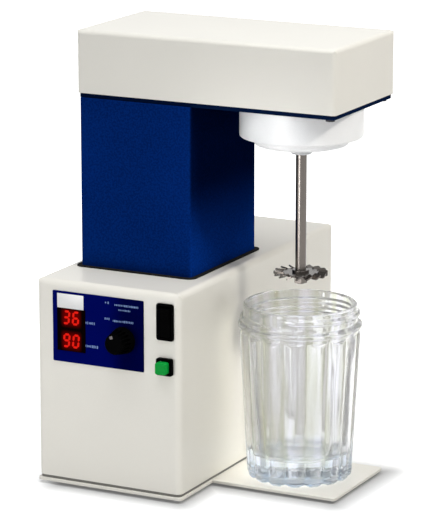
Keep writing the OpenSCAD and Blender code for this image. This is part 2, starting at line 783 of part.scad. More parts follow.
module column_seal() {
    neck = seal_gap + seal_neck;
    reach = neck + seal_w;
    color("#141416") difference() {
        union() {
            rounded_prism([column_x0 - reach, column_y0 - reach, body_top],
                [column_w + 2 * reach, column_d + 2 * reach, seal_h], column_r + reach);
            rounded_prism([column_x0 - neck, column_y0 - neck, body_top - 2 * sheet_t],
                [column_w + 2 * neck, column_d + 2 * neck, 2 * sheet_t], column_r + neck);
        }
        rounded_prism([column_x0 - seal_gap, column_y0 - seal_gap, body_top - 2 * sheet_t - cut],
            [column_w + 2 * seal_gap, column_d + 2 * seal_gap, seal_h + 2 * sheet_t + 2 * cut],
            column_r + seal_gap);
    }
}

module guide_rods() color("#b9bdc2") for (p = rods) difference() {
    rod_z(p, rod_d, plate_top, body_top - sheet_t);
    rod_z(p, screw_hole_d, plate_top - cut, plate_top + screw_bite + cut);
}

module rod_screws() color("#8f9296") for (p = rods) screw_up(p, foot_h, plate_t + screw_bite);

module control_panel() color("#0b0c52") difference() {
    translate([panel_x0, front_y, panel_z0]) rotate([90, 0, 0]) linear_extrude(panel_t)
        rounded_rect([panel_w, panel_h], panel_r);
    span([window_x0, panel_y - cut, window_z0],
        [window_x0 + window_w, front_y + cut, window_z0 + window_h]);
    rod_y([knob_x, panel_y - cut, knob_z], bush_d + 2 * screw_gap, panel_t + 2 * cut);
}

module display_window() color("#0d0809") span([window_x0, panel_y - window_proud, window_z0],
    [window_x0 + window_w, inner_y, window_z0 + window_h]);

// Two-digit light display between the window and the board, with its digits' cells cut into its face
module two_digits(z) {
    x0 = window_x0 + window_w / 2 - digits_w / 2;
    cell = [digits_w / 2 - 2 * digit_border, digits_h - 2 * digit_border];
    difference() {
        span([x0, inner_y, z - digits_h / 2], [x0 + digits_w, board_y, z + digits_h / 2]);
        for (i = [0, 1]) translate([x0 + i * digits_w / 2 + digit_border, inner_y - cut, z - cell[1] / 2])
            cube([cell[0], digit_cell_t + cut, cell[1]]);
    }
}

module speed_display() color("#c8102e") two_digits(window_z0 + 3 * window_h / 4);

module timer_display() color("#c8102e") two_digits(window_z0 + window_h / 4);

module control_board() color("#1f6b3a") difference() {
    span([board_x0, board_y, board_z0], [board_x0 + board_w, board_y + board_t, board_z0 + board_h]);
    for (p = board_holes) rod_y([p[0], board_y - cut, p[1]], peg_d + 2 * screw_gap, board_t + 2 * cut);
}

module board_spacers() color("#c9b458") for (p = board_holes) {
    rod_y([p[0], inner_y, p[1]], spacer_d, digits_t);
    rod_y([p[0], board_y, p[1]], peg_d, board_t + cut);
}

module selector_body() color("#34363a") difference() {
    union() {
        rod_y([knob_x, inner_y, knob_z], selector_d, selector_l);
        rod_y([knob_x, panel_y - bush_nut_h, knob_z], bush_d, panel_t + bush_nut_h + sheet_t + cut);
    }
    rod_y([knob_x, panel_y - bush_nut_h - cut, knob_z], knob_shaft_d + 2 * knob_shaft_gap,
        panel_t + bush_nut_h + sheet_t + selector_l);
}

module selector_nut() color("#b9bdc2") difference() {
    translate([knob_x, panel_y, knob_z]) rotate([90, 0, 0])
        cylinder(d = bush_nut_w * hex_corner, h = bush_nut_h, $fn = 6);
    rod_y([knob_x, panel_y - bush_nut_h - cut, knob_z], bush_d + screw_gap, bush_nut_h + 2 * cut);
}

// Places a child that is drawn along +Z from the knob's face, turned to the pointer's rest angle
module on_knob() translate([knob_x, knob_y0, knob_z]) rotate([0, -knob_rest, 0]) rotate([-90, 0, 0])
    children();

module pointer_mark() translate([-pointer_w / 2, knob_edge + pointer_edge - knob_face_d / 2, -cut])
    cube([pointer_w, pointer_l, pointer_t + cut]);

module selector_knob() color("#121214") on_knob() difference() {
    rotate_extrude() polygon([[0, 0], [knob_face_d / 2 - knob_edge, 0], [knob_face_d / 2, knob_edge],
        [knob_d / 2, knob_l], [0, knob_l]]);
    for (i = [0 : knob_flutes - 1]) rotate([0, 0, i * 360 / knob_flutes])
        translate([knob_face_d / 2 + knob_flute_r / 2, 0, -cut])
            cylinder(r = knob_flute_r, h = knob_l - knob_recess);
    pointer_mark();
    translate([0, 0, knob_l - knob_recess])
        cylinder(d = bush_nut_w * hex_corner + cut, h = knob_recess + cut);
    translate([0, 0, knob_face_t]) cylinder(d = knob_shaft_d, h = knob_l);
}

module knob_pointer() color("#f4f4f2") on_knob() intersection() {
    pointer_mark();
    cylinder(d = knob_face_d, h = pointer_t);
}

module selector_shaft() color("#b9bdc2") on_knob() translate([0, 0, knob_face_t])
    cylinder(d = knob_shaft_d, h = knob_l - knob_face_t + knob_gap + panel_t + sheet_t + selector_l / 2);

// Pocket in which the rocker swings, open to the front
module rocker_pocket() {
    half = switch_open / 2;
    span([switch_x - half[0], front_y - switch_proud - cut, switch_z - half[1]],
        [switch_x + half[0], pivot_y + rocker_back + rocker_pin_d + cut, switch_z + half[1]]);
}

module switch_frame() color("#17171a") difference() {
    union() {
        translate([switch_x - switch_w / 2, front_y, switch_z - switch_h / 2]) rotate([90, 0, 0])
            linear_extrude(switch_proud) rounded_rect([switch_w, switch_h], switch_r);
        switch_body();
    }
    rocker_pocket();
    rod_x([switch_x, pivot_y, switch_z], rocker_pin_d + 2 * rocker_pin_gap,
        switch_open[0] + 2 * rocker_pin_l);
}

module switch_body() {
    half = [switch_open[0] / 2 + rocker_pin_l, switch_open[1] / 2 + rocker_pin_l];
    span([switch_x - half[0], front_y, switch_z - half[1]],
        [switch_x + half[0], front_y + switch_depth, switch_z + half[1]]);
}

// Cylinder along X, centred on a point
module rod_x(at, d, l) translate(at) rotate([0, 90, 0]) cylinder(d = d, h = l, center = true);

module switch_rocker() color("#1b1b1e") translate([switch_x, pivot_y, switch_z])
    rotate([rocker_angle, 0, 0]) {
        rotate([90, 0, 90]) translate([0, 0, -rocker_w / 2]) linear_extrude(rocker_w) polygon([
            [-rocker_rise, rocker_end], [-rocker_dip, 0], [-rocker_rise, -rocker_end],
            [-rocker_pin_d / 2, -rocker_end], [rocker_back, -rocker_end / 2],
            [rocker_back, rocker_end / 2], [-rocker_pin_d / 2, rocker_end]]);
        rod_x([0, 0, 0], rocker_pin_d, switch_open[0] + 2 * rocker_pin_l - 2 * rocker_pin_gap);
    }

module button_bezel() color("#17171a") difference() {
    union() {
        translate([switch_x - bezel_w / 2, front_y, button_z - bezel_w / 2]) rotate([90, 0, 0])
            linear_extrude(bezel_proud) rounded_rect([bezel_w, bezel_w], control_r);
        rod_y([switch_x, front_y, button_z], barrel_d, sheet_t + barrel_l);
    }
    room = button_w / 2 + button_gap;
    span([switch_x - room, front_y - bezel_proud - cut, button_z - room],
        [switch_x + room, front_y, button_z + room]);
    rod_y([switch_x, front_y - cut, button_z], stem_d + 2 * knob_shaft_gap, sheet_t + barrel_l - cut);
}

module button_nut() color("#2a2a2d") difference() {
    rod_y([switch_x, inner_y, button_z], barrel_nut_d, barrel_nut_h);
    rod_y([switch_x, inner_y - cut, button_z], barrel_d + screw_gap, barrel_nut_h + 2 * cut);
}

module start_button() color("#0f9a46") {
    room = button_travel + button_gap;
    translate([switch_x - button_w / 2, front_y - room, button_z - button_w / 2]) rotate([90, 0, 0])
        linear_extrude(button_proud - room) rounded_rect([button_w, button_w], control_r);
    rod_y([switch_x, front_y - room - cut, button_z], stem_d, cut + room + sheet_t + barrel_l / 2);
}

module power_inlet() color("#17171a") difference() {
    union() {
        translate([inlet_x - inlet_w / 2, back_y + inlet_t, inlet_z - inlet_h / 2]) rotate([90, 0, 0])
            linear_extrude(inlet_t) rounded_rect([inlet_w, inlet_h], inlet_r);
        translate([inlet_x - socket_w / 2 - socket_wall, back_y - socket_l - socket_wall + inlet_t,
            inlet_z - socket_h / 2 - socket_wall])
            cube([socket_w + 2 * socket_wall, socket_l + socket_wall, socket_h + 2 * socket_wall]);
    }
    translate([inlet_x, back_y + inlet_t + cut, inlet_z]) rotate([90, 0, 0]) linear_extrude(socket_l + cut)
        socket_outline();
    for (s = [-1, 1]) on_inlet(s) {
        translate([0, 0, -cut]) cylinder(d = screw_hole_d, h = inlet_t + 2 * cut);
        translate([0, 0, inlet_t - screw_head_h])
            cylinder(d1 = screw_hole_d, d2 = screw_head_d, h = screw_head_h);
        translate([0, 0, inlet_t]) cylinder(d = screw_head_d, h = cut);
    }
}

// Places a child along the axis of the inlet's left or right screw, from the housing's back outwards
module on_inlet(side) translate([inlet_x + side * inlet_screw_span / 2, back_y, inlet_z])
    rotate([-90, 0, 0]) children();

// Mouth of the socket, with its two upper corners cut off
module socket_outline() {
    half = [socket_w / 2, socket_h / 2];
    polygon([-half, [half[0], -half[1]], [half[0], half[1] - socket_corner],
        [half[0] - socket_corner, half[1]], [socket_corner - half[0], half[1]],
        [-half[0], half[1] - socket_corner]]);
}

module inlet_blades() {
    floor_y = back_y + inlet_t - socket_l;
    color("#c9b458") for (i = [-1, 0, 1])
        translate([inlet_x + i * contact_pitch - contact_t / 2, floor_y,
            inlet_z + (1 - 2 * abs(i)) * contact_rise - contact_w / 2])
            cube([contact_t, contact_l, contact_w]);
}

// Countersunk screws, flush with the inlet's flange
module inlet_screws() color("#8f9296") for (s = [-1, 1]) on_inlet(s) difference() {
    union() {
        translate([0, 0, -sheet_t - screw_bite]) cylinder(d = screw_d, h = sheet_t + screw_bite + inlet_t);
        translate([0, 0, inlet_t - screw_head_h])
            cylinder(d1 = screw_d, d2 = screw_head_d - 2 * screw_gap, h = screw_head_h);
    }
    translate([0, 0, inlet_t - screw_key_h])
        cylinder(d = screw_key_w * hex_corner, h = screw_key_h + cut, $fn = 6);
}

// Laminated core with two windows, whose middle leg is twice as wide as the outer ones
module transformer_core() color("#5d5a52") difference() {
    translate([transformer_x0, transformer_y0, plate_top])
        cube([transformer_w, transformer_d, transformer_h]);
    for (s = [-1, 1]) core_window(s, 0, 0);
}

// One window of the core, shrunk by a gap and lengthened past the core's front and back
module core_window(side, gap, proud) {
    w = transformer_w / 2 - 2 * transformer_leg;
    h = transformer_h - 2 * transformer_leg;
    over = proud + (gap > 0 ? 0 : cut);
    translate([transformer_x0 + transformer_w / 2 + side * (transformer_leg + w / 2),
        transformer_y0 + transformer_d / 2, plate_top + transformer_h / 2])
        cube([w - 2 * gap, transformer_d + 2 * over, h - 2 * gap], center = true);
}

// Winding that fills both windows and closes round the middle leg in front and behind
module transformer_coil() color("#b5692e") {
    for (s = [-1, 1]) core_window(s, coil_gap, coil_proud);
    edge = transformer_leg + coil_gap;
    for (y = [transformer_y0 - coil_proud, transformer_y0 + transformer_d + coil_gap])
        translate([transformer_x0 + edge, y, plate_top + edge])
            cube([transformer_w - 2 * edge, coil_proud - coil_gap, transformer_h - 2 * edge]);
}

module drive_board() color("#1f6b3a") difference() {
    span([drive_x0, drive_y0, drive_z0], [drive_x0 + drive_w, drive_y0 + drive_d, drive_z0 + board_t]);
    for (p = drive_holes) rod_z(p, peg_d + 2 * screw_gap, drive_z0 - cut, drive_z0 + board_t + cut);
}

module drive_spacers() color("#c9b458") for (p = drive_holes) {
    rod_z(p, spacer_d, plate_top, drive_z0);
    rod_z(p, peg_d, drive_z0, drive_z0 + board_t + cut);
}

module heat_sink() color("#a9adb2") translate([sink_x0, drive_y0 + sink_edge, drive_z0 + board_t]) {
    cube([sink_w, sink_d, sink_foot_t]);
    for (i = [0 : sink_fins - 1]) translate([i * (sink_w - fin_t) / (sink_fins - 1), 0, 0])
        cube([fin_t, sink_d, sink_h]);
}

// Lifting body

// Square tube of bent sheet, closed at its top round the motor
module column_sleeve() color("#0b2a6b") {
    difference() {
        rounded_prism([column_x0, column_y0, column_z0], [column_w, column_d, head_z0 - column_z0],
            column_r);
        rounded_prism([column_x0 + sheet_t, column_y0 + sheet_t, column_z0 - cut],
            [column_w - 2 * sheet_t, column_d - 2 * sheet_t, head_z0 - column_z0 - sheet_t + cut],
            column_r - sheet_t);
        rod_z([motor_x, motor_y], motor_d + 2 * turn_gap, head_z0 - sheet_t - cut, head_z0 + cut);
        for (p = concat(column_lugs, column_cover_lugs))
            rod_z(p, screw_head_d + 2 * screw_gap, head_z0 - lug_h, head_z0 + cut);
    }
    lugs(column_lugs, head_z0 - lug_h, lug_h);
}

module column_carriage() color("#a9adb2") difference() {
    rounded_prism([column_x0 + sheet_t, column_y0 + sheet_t, column_z0],
        [column_w - 2 * sheet_t, column_d - 2 * sheet_t, carriage_t], column_r - sheet_t);
    for (p = rods) rod_z(p, rod_bush_d, column_z0 - cut, column_z0 + carriage_t + cut);
    rod_z([motor_x, motor_y], cable_hole_d, column_z0 - cut, column_z0 + carriage_t + cut);
}

module guide_bushes() color("#c79a4b") for (p = rods) difference() {
    rod_z(p, rod_bush_d, column_z0, column_z0 + rod_bush_l);
    rod_z(p, rod_d + 2 * rod_gap, column_z0 - cut, column_z0 + rod_bush_l + cut);
}

module column_screws() color("#8f9296")
    for (p = column_lugs) screw_down(p, cover_z0, head_plate_t + screw_bite);

module head_plate() color("#10152b") difference() {
    rounded_prism([head_x0 + head_plate_inset, head_y0 + head_plate_inset, head_z0],
        [head_w - 2 * head_plate_inset, head_d - 2 * head_plate_inset, head_plate_t], head_r);
    for (p = concat(column_lugs, cover_lugs, cap_screw_at, motor_screw_at))
        rod_z(p, screw_hole_d, head_z0 - cut, cover_z0 + cut);
    for (p = bearing_screw_at) rod_z(p, screw_hole_d, head_z0 - cut, cover_z0 + cut);
    rod_z([spindle_x, spindle_y], bearing_tube_d + 2 * screw_gap, head_z0 - cut, cover_z0 + cut);
    rod_z([motor_x, motor_y], motor_boss_d + 2 * screw_gap, head_z0 - cut, cover_z0 + cut);
}

module head_cover() color("#e9e6dc") {
    difference() {
        bent_box([head_x0, head_y0, cover_z0], [head_w, head_d, head_h], head_r);
        bent_box([head_x0 + sheet_t, head_y0 + sheet_t, cover_z0 - cut],
            [head_w - 2 * sheet_t, head_d - 2 * sheet_t, head_h - sheet_t + cut], head_r - sheet_t);
    }
    lugs(cover_lugs, cover_z0, lug_h);
}

module cover_screws() color("#8f9296")
    for (p = cover_lugs) screw_up(p, head_z0, head_plate_t + screw_bite);

module motor() color("#3b3f45") difference() {
    union() {
        rod_z([motor_x, motor_y], motor_d, motor_z0, head_z0);
        rod_z([motor_x, motor_y], motor_boss_d, head_z0, cover_z0);
    }
    for (p = motor_screw_at) rod_z(p, screw_hole_d, head_z0 - screw_bite - cut, cover_z0 + cut);
    rod_z([motor_x, motor_y], motor_shaft_d + 2 * knob_shaft_gap, head_z0 - motor_shaft_in, cover_z0 + cut);
    for (z = [motor_z0 + motor_end_l, head_z0 - motor_end_l]) translate([motor_x, motor_y, z])
        rotate_extrude() translate([motor_d / 2, 0]) circle(d = motor_groove_w);
}

module motor_screws() color("#8f9296")
    for (p = motor_screw_at) screw_down(p, cover_z0, head_plate_t + screw_bite);

module bearing_housing() color("#8d9196") difference() {
    union() {
        rod_z([spindle_x, spindle_y], bearing_tube_d, bearing_tube_z0, bearing_tube_z1);
        rod_z([spindle_x, spindle_y], bearing_flange_d, cover_z0, cover_z0 + bearing_flange_t);
    }
    at = [spindle_x, spindle_y];
    rod_z(at, bearing_d - 2 * bearing_ring_t, bearing_tube_z0 - cut, bearing_tube_z1 + cut);
    rod_z(at, bearing_d, bearing_z0, bearing_z0 + bearing_h);
    rod_z(at, bearing_d, bearing_z1, bearing_tube_z1 + cut);
    for (p = bearing_screw_at) rod_z(p, screw_hole_d, cover_z0 - cut, cover_z0 + bearing_flange_t + cut);
}

module bearing_screws() color("#8f9296") for (p = bearing_screw_at)
    screw_down(p, cover_z0 + bearing_flange_t, bearing_flange_t + head_plate_t);

// Ring with a ball groove, between two diameters
module race(d0, d1, z) translate([spindle_x, spindle_y, z]) rotate_extrude() difference() {
    translate([d0 / 2, 0]) square([(d1 - d0) / 2, bearing_h]);
    translate([bearing_race_d / 2, bearing_h / 2]) circle(d = bearing_ball_d + 2 * race_gap);
}

module bearing_outer_rings() color("#c3c7cc") for (z = [bearing_z0, bearing_z1])
    race(bearing_d - 2 * bearing_ring_t, bearing_d, z);

module bearing_inner_rings() color("#c3c7cc") for (z = [bearing_z0, bearing_z1])
    race(journal_d, bearing_bore_d, z);

module bearing_balls_set() color("#d5d8dc") for (z = [bearing_z0, bearing_z1], i = [0 : bearing_balls - 1])
    translate([spindle_x, spindle_y, z + bearing_h / 2]) rotate([0, 0, i * 360 / bearing_balls])
        translate([bearing_race_d / 2, 0, 0]) sphere(d = bearing_ball_d);

// Outline of the belt's loop round both pulleys
module belt_loop(r) {
    translate([motor_x, motor_y]) circle(r);
    translate([spindle_x, spindle_y]) circle(r);
    translate([motor_x, motor_y - r]) square([spindle_x - motor_x, 2 * r]);
}

module drive_belt() color("#222224") translate([0, 0, belt_z0]) linear_extrude(belt_w) difference() {
    belt_loop(pulley_d / 2 + belt_gap + belt_t);
    belt_loop(pulley_d / 2 + belt_gap);
}

// Profile of the splash cap: a deep lid whose plug enters the jar, hollow from above
module cap_profile() {
    r = cap_d / 2;
    p = plug_d / 2;
    difference() {
        union() {
            translate([0, shoulder_z + cap_r]) square([r, head_z0 - shoulder_z - cap_r]);
            translate([0, shoulder_z]) square([r - cap_r, cap_r]);
            translate([r - cap_r, shoulder_z + cap_r]) circle(cap_r);
            translate([0, plug_z + plug_r]) square([p, plug_h]);
            translate([0, plug_z]) square([p - plug_r, plug_h]);
            translate([p - plug_r, plug_z + plug_r]) circle(plug_r);
        }
        translate([0, shoulder_z + cap_wall]) square([r - cap_wall, head_z0 - shoulder_z]);
        translate([0, plug_z + cap_wall]) square([p - cap_wall, head_z0 - plug_z]);
        translate([0, plug_z - cut]) square([shaft_seal_d / 2 - shaft_seal_step, 2 * cut + cap_wall]);
    }
}

module splash_cap() color("#f3f3f1") difference() {
    union() {
        translate([spindle_x, spindle_y, 0]) rotate_extrude() cap_profile();
        for (p = cap_screw_at) rod_z(p, cap_boss_d, shoulder_z + cap_wall / 2, head_z0);
    }
    for (p = cap_screw_at) rod_z(p, screw_hole_d, head_z0 - screw_bite - cut, head_z0 + cut);
}

module cap_screws() color("#8f9296")
    for (p = cap_screw_at) screw_down(p, cover_z0, head_plate_t + screw_bite);

module shaft_seal() color("#d9dadb") translate([spindle_x, spindle_y, 0]) rotate_extrude() {
    bore = shaft_d / 2 + shaft_seal_gap;
    difference() {
        union() {
            translate([bore, shaft_seal_z]) square([shaft_seal_d / 2 - bore, shaft_seal_drop]);
            translate([bore, plug_z])
                square([shaft_seal_d / 2 - shaft_seal_step - screw_gap - bore, cap_wall]);
        }
        translate([shaft_seal_d / 2, shaft_seal_z]) rotate(45)
            square(shaft_seal_edge * sqrt(2), center = true);
    }
}

// Spindle and motor rotor

module stirrer_shaft() color("#b4b8bc") {
    at = [spindle_x, spindle_y];
    rod_z(at, journal_d, journal_z0, pulley_z1 + turn_gap);
    rod_z(at, shaft_d, hub_z1, journal_z0);
    rod_z(at, stub_d, hub_z0 - nut_h - cut, hub_z1);
}

module pulley(at, bore) difference() {
    union() {
        rod_z(at, pulley_hub_d, pulley_z0, pulley_z1);
        rod_z(at, pulley_flange_d, flange_z0, flange_z0 + pulley_flange_t);
        rod_z(at, pulley_d, flange_z0, pulley_z1);
        rod_z(at, pulley_flange_d, pulley_z1 - pulley_flange_t, pulley_z1);
    }
    rod_z(at, bore, pulley_z0 - cut, pulley_z1 + cut);
}

module spindle_pulley() color("#a9adb2") pulley([spindle_x, spindle_y], journal_d);

module motor_pulley() color("#a9adb2") pulley([motor_x, motor_y], motor_shaft_d);

module motor_shaft() color("#b4b8bc")
    rod_z([motor_x, motor_y], motor_shaft_d, head_z0 - motor_shaft_in + turn_gap, pulley_z1 + turn_gap);

// Turbine: a thin disc on a hub, with sloping blades round its edge
module impeller() color("#9a9ea3") translate([spindle_x, spindle_y, blade_z]) difference() {
    union() {
        cylinder(d = hub_d, h = hub_h, center = true);
        cylinder(d = impeller_d - 2 * blade_l + 2 * blade_t, h = blade_t, center = true);
        for (i = [0 : blade_count - 1]) rotate([0, 0, i * 360 / blade_count])
            translate([impeller_d / 2 - blade_l / 2, 0, 0]) rotate([blade_angle, 0, 0])
                cube([blade_l, blade_w, blade_t], center = true);
    }
    cylinder(d = stub_d, h = hub_h + 2 * cut, center = true);
}

module impeller_nut() color("#aeb2b6") difference() {
    translate([spindle_x, spindle_y, hub_z0 - nut_h]) cylinder(d = nut_w * hex_corner, h = nut_h, $fn = 6);
    rod_z([spindle_x, spindle_y], stub_d, hub_z0 - nut_h - cut, hub_z0 + cut);
}

// Jar

// Slope of the lobes, from the foot out to the shoulder
jar_slope = atan((jar_shoulder_r - jar_foot_r) / jar_body_h);
// Length of the lobes, up to the neck
lobe_l = jar_body_h + shoulder_h;

// Outer profile that bounds the lobes: lower edge, wall and shoulder up to the neck
module jar_envelope() {
    polygon([[0, 0], [jar_foot_r - jar_edge_r, 0], [jar_foot_r, jar_edge_r],
        [jar_shoulder_r, jar_body_h], [jar_shoulder_r - shoulder_h, lobe_l], [0, lobe_l]]);
    translate([jar_foot_r - jar_edge_r, jar_edge_r]) circle(jar_edge_r);
    translate([jar_shoulder_r - shoulder_h, jar_body_h]) circle(shoulder_h);
}

module mixing_jar() color([0.8, 0.87, 0.9, 0.45]) translate([spindle_x, spindle_y, jar_z0]) difference() {
    union() {
        intersection() {
            rotate_extrude() jar_envelope();
            union() {
                cylinder(r1 = jar_foot_r - lobe_r / 2, r2 = jar_shoulder_r - lobe_r / 2, h = lobe_l);
                for (i = [0 : lobe_count - 1]) rotate([0, 0, lobe_turn + (i + 0.5) * 360 / lobe_count])
                    translate([jar_foot_r - lobe_r, 0, 0]) rotate([0, jar_slope, 0])
                        translate([0, 0, -lobe_r]) cylinder(r = lobe_r, h = lobe_l + 2 * lobe_r);
            }
        }
        rotate_extrude() jar_neck();
    }
    rotate_extrude() jar_cavity();
}

// Neck with its collar, the turns of its thread and a round rim
module jar_neck() {
    bead_top = jar_h - thread_top - thread_pitch;
    translate([0, jar_body_h]) square([collar_r, bead_top - thread_h / 2 - jar_body_h]);
    translate([0, jar_body_h]) square([neck_r, jar_h - jar_body_h - rim_r]);
    translate([0, jar_body_h]) square([neck_r - rim_r, jar_h - jar_body_h]);
    translate([neck_r - rim_r, jar_h - rim_r]) circle(rim_r);
    thread_turn(thread_r, jar_h - thread_top);
    thread_turn(bead_r, bead_top);
}

// Section of one turn of the thread, hanging down from a height
module thread_turn(r, top) {
    flank = (thread_h - thread_crest) / 2;
    translate([0, top]) polygon([[neck_r - cut, 0], [neck_r, 0], [r, -flank], [r, flank - thread_h],
        [neck_r, -thread_h], [neck_r - cut, -thread_h]]);
}

// Inside of the jar, with a round edge at its floor, and the hollow under its foot
module jar_cavity() {
    e = cavity_edge_r;
    polygon([[0, jar_floor], [cavity_foot_r - e, jar_floor], [cavity_foot_r, jar_floor + e],
        [mouth_r, cavity_h], [mouth_r, jar_h + cut], [0, jar_h + cut]]);
    translate([cavity_foot_r - e, jar_floor + e]) circle(e);
    translate([0, -cut]) square([jar_push_r, jar_push + cut]);
}

base_plate();
rubber_feet();
base_gasket();
base_housing();
base_screws();
column_seal();
guide_rods();
rod_screws();
control_panel();
display_window();
speed_display();
timer_display();
control_board();
board_spacers();
selector_body();
selector_nut();
selector_knob();
knob_pointer();
selector_shaft();
switch_frame();
switch_rocker();
button_bezel();
button_nut();
start_button();
power_inlet();
inlet_blades();
inlet_screws();
transformer_core();
transformer_coil();
drive_board();
drive_spacers();
heat_sink();
column_sleeve();
column_carriage();
guide_bushes();
column_screws();
head_plate();
head_cover();
cover_screws();
motor();
motor_screws();
bearing_housing();
bearing_screws();
bearing_outer_rings();
bearing_balls_set();
drive_belt();
splash_cap();
cap_screws();
shaft_seal();
motor_shaft();
motor_pulley();
stirrer_shaft();
bearing_inner_rings();
spindle_pulley();
impeller();
impeller_nut();
mixing_jar();
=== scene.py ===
import json
import math

import bmesh
import bpy
from mathutils import Matrix, Vector

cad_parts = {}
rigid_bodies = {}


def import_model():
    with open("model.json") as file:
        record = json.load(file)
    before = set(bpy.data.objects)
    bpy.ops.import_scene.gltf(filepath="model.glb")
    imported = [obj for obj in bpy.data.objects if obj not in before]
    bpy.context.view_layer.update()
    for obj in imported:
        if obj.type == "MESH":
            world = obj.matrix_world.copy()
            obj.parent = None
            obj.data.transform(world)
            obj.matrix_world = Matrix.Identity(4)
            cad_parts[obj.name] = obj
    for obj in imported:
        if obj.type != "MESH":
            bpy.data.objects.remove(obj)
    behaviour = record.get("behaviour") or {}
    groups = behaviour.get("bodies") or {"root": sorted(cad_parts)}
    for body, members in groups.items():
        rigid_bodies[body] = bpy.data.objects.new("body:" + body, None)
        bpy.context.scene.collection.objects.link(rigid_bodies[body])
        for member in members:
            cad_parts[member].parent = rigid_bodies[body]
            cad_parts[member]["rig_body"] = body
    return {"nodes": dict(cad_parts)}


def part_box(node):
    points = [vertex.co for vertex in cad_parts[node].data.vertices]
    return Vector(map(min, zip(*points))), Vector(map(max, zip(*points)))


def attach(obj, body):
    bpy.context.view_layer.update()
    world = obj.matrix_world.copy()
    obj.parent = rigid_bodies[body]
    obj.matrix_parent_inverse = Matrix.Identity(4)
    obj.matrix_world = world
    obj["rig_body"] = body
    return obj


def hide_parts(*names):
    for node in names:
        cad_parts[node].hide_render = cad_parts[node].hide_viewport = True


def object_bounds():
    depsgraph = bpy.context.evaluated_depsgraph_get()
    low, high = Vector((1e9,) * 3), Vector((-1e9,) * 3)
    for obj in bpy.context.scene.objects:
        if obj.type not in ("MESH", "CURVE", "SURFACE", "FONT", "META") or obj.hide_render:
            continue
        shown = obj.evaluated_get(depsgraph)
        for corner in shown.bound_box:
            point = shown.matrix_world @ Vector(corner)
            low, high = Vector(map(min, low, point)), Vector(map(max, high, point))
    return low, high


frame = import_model()
cad_low, cad_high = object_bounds()


# Base plate: one steel sheet that carries the housing and, to the right of it, the jar's platform.
# It is powder-coated cream together with the housing and the head cover, and the coat's fine skin
# drifts a little in tint and gloss from place to place.
class Wire:
    """An output of a node tree. Sums and products of wires add the Math nodes they need."""

    def __init__(self, tree, socket=None):
        self.tree = tree
        self.socket = socket

    def node(self, kind, out=0, settings=None, sockets=None):
        """A new node of that type: its settings first, then the values or links of its sockets."""
        made = self.tree.nodes.new(kind)
        for name, value in (settings or {}).items():
            setattr(made, name, value)
        for name, value in (sockets or {}).items():
            for one in value if isinstance(value, list) else [value]:
                if isinstance(one, Wire):
                    self.tree.links.new(one.socket, made.inputs[name])
                else:
                    made.inputs[name].default_value = one
        return Wire(self.tree, made.outputs[out])

    def math(self, operation, *values):
        settings = {"operation": operation}
        return self.node("ShaderNodeMath", settings=settings, sockets=dict(enumerate(values)))

    def __add__(self, other):
        return self.math("ADD", self, other)

    def __sub__(self, other):
        return self.math("SUBTRACT", self, other)

    def __rsub__(self, other):
        return self.math("SUBTRACT", other, self)

    def __mul__(self, other):
        return self.math("MULTIPLY", self, other)

    def __truediv__(self, other):
        return self.math("DIVIDE", self, other)

    def __rtruediv__(self, other):
        return self.math("DIVIDE", other, self)

    __radd__ = __add__
    __rmul__ = __mul__

    def fade(self, low, high):
        """0 below low and 1 above high, with a soft step between."""
        settings = {"interpolation_type": "SMOOTHSTEP"}
        sockets = {"Value": self, "From Min": low, "From Max": high}
        return self.node("ShaderNodeMapRange", settings=settings, sockets=sockets)

    def tint(self, first, second):
        """The first colour where this wire is 0, the second where it is 1."""
        sockets = {"Factor": self, 6: (*first, 1.0), 7: (*second, 1.0)}
        return self.node("ShaderNodeMix", out=2, settings={"data_type": "RGBA"}, sockets=sockets)

    def bump(self, strength, depth):
        """A surface normal from this wire as a height."""
        sockets = {"Height": self, "Strength": strength, "Distance": depth}
        return self.node("ShaderNodeBump", sockets=sockets)

    def into(self, node, name):
        self.tree.links.new(self.socket, node.inputs[name])


def finish(name, **constants):
    """A new material: itself, its shader, and its place on the object as a wire."""
    material = bpy.data.materials.new(name)
    material.use_nodes = True
    shader = material.node_tree.nodes["Principled BSDF"]
    for socket, value in constants.items():
        shader.inputs[socket.replace("_", " ")].default_value = value
    place = Wire(material.node_tree).node("ShaderNodeTexCoord", out="Object")
    return material, shader, place


def noise(place, scale, detail=2.0):
    sockets = {"Vector": place, "Scale": scale, "Detail": detail}
    return place.node("ShaderNodeTexNoise", sockets=sockets)


def shade(colour, factor):
    return tuple(min(1.0, channel * factor) for channel in colour)


coat_drift = 14.0


def powder_coat(name, colour, grain, depth, roughness, gloss, lacquer):
    """Baked paint with a pebbled skin of so many grains a metre, and so much smooth lacquer on it."""
    material, shader, place = finish(name, Specular_IOR_Level=gloss, Coat_Weight=lacquer,
                                     Coat_Roughness=0.15)
    drift = noise(place, coat_drift, 3.0)
    pebble = noise(place, grain, 3.0)
    mottle = 0.7 * drift + 0.3 * pebble
    mottle.tint(shade(colour, 0.955), shade(colour, 1.045)).into(shader, "Base Color")
    (roughness + 0.12 * (drift - 0.5)).into(shader, "Roughness")
    pebble.bump(0.35, depth).into(shader, "Normal")
    return material


def dress(material, *nodes):
    """Gives CAD nodes this finish."""
    for name in nodes:
        materials = frame["nodes"][name].data.materials
        materials.clear()
        materials.append(material)


merge_gap = 1e-6
flat_angle = math.radians(2)
sharp_angle = math.radians(50)


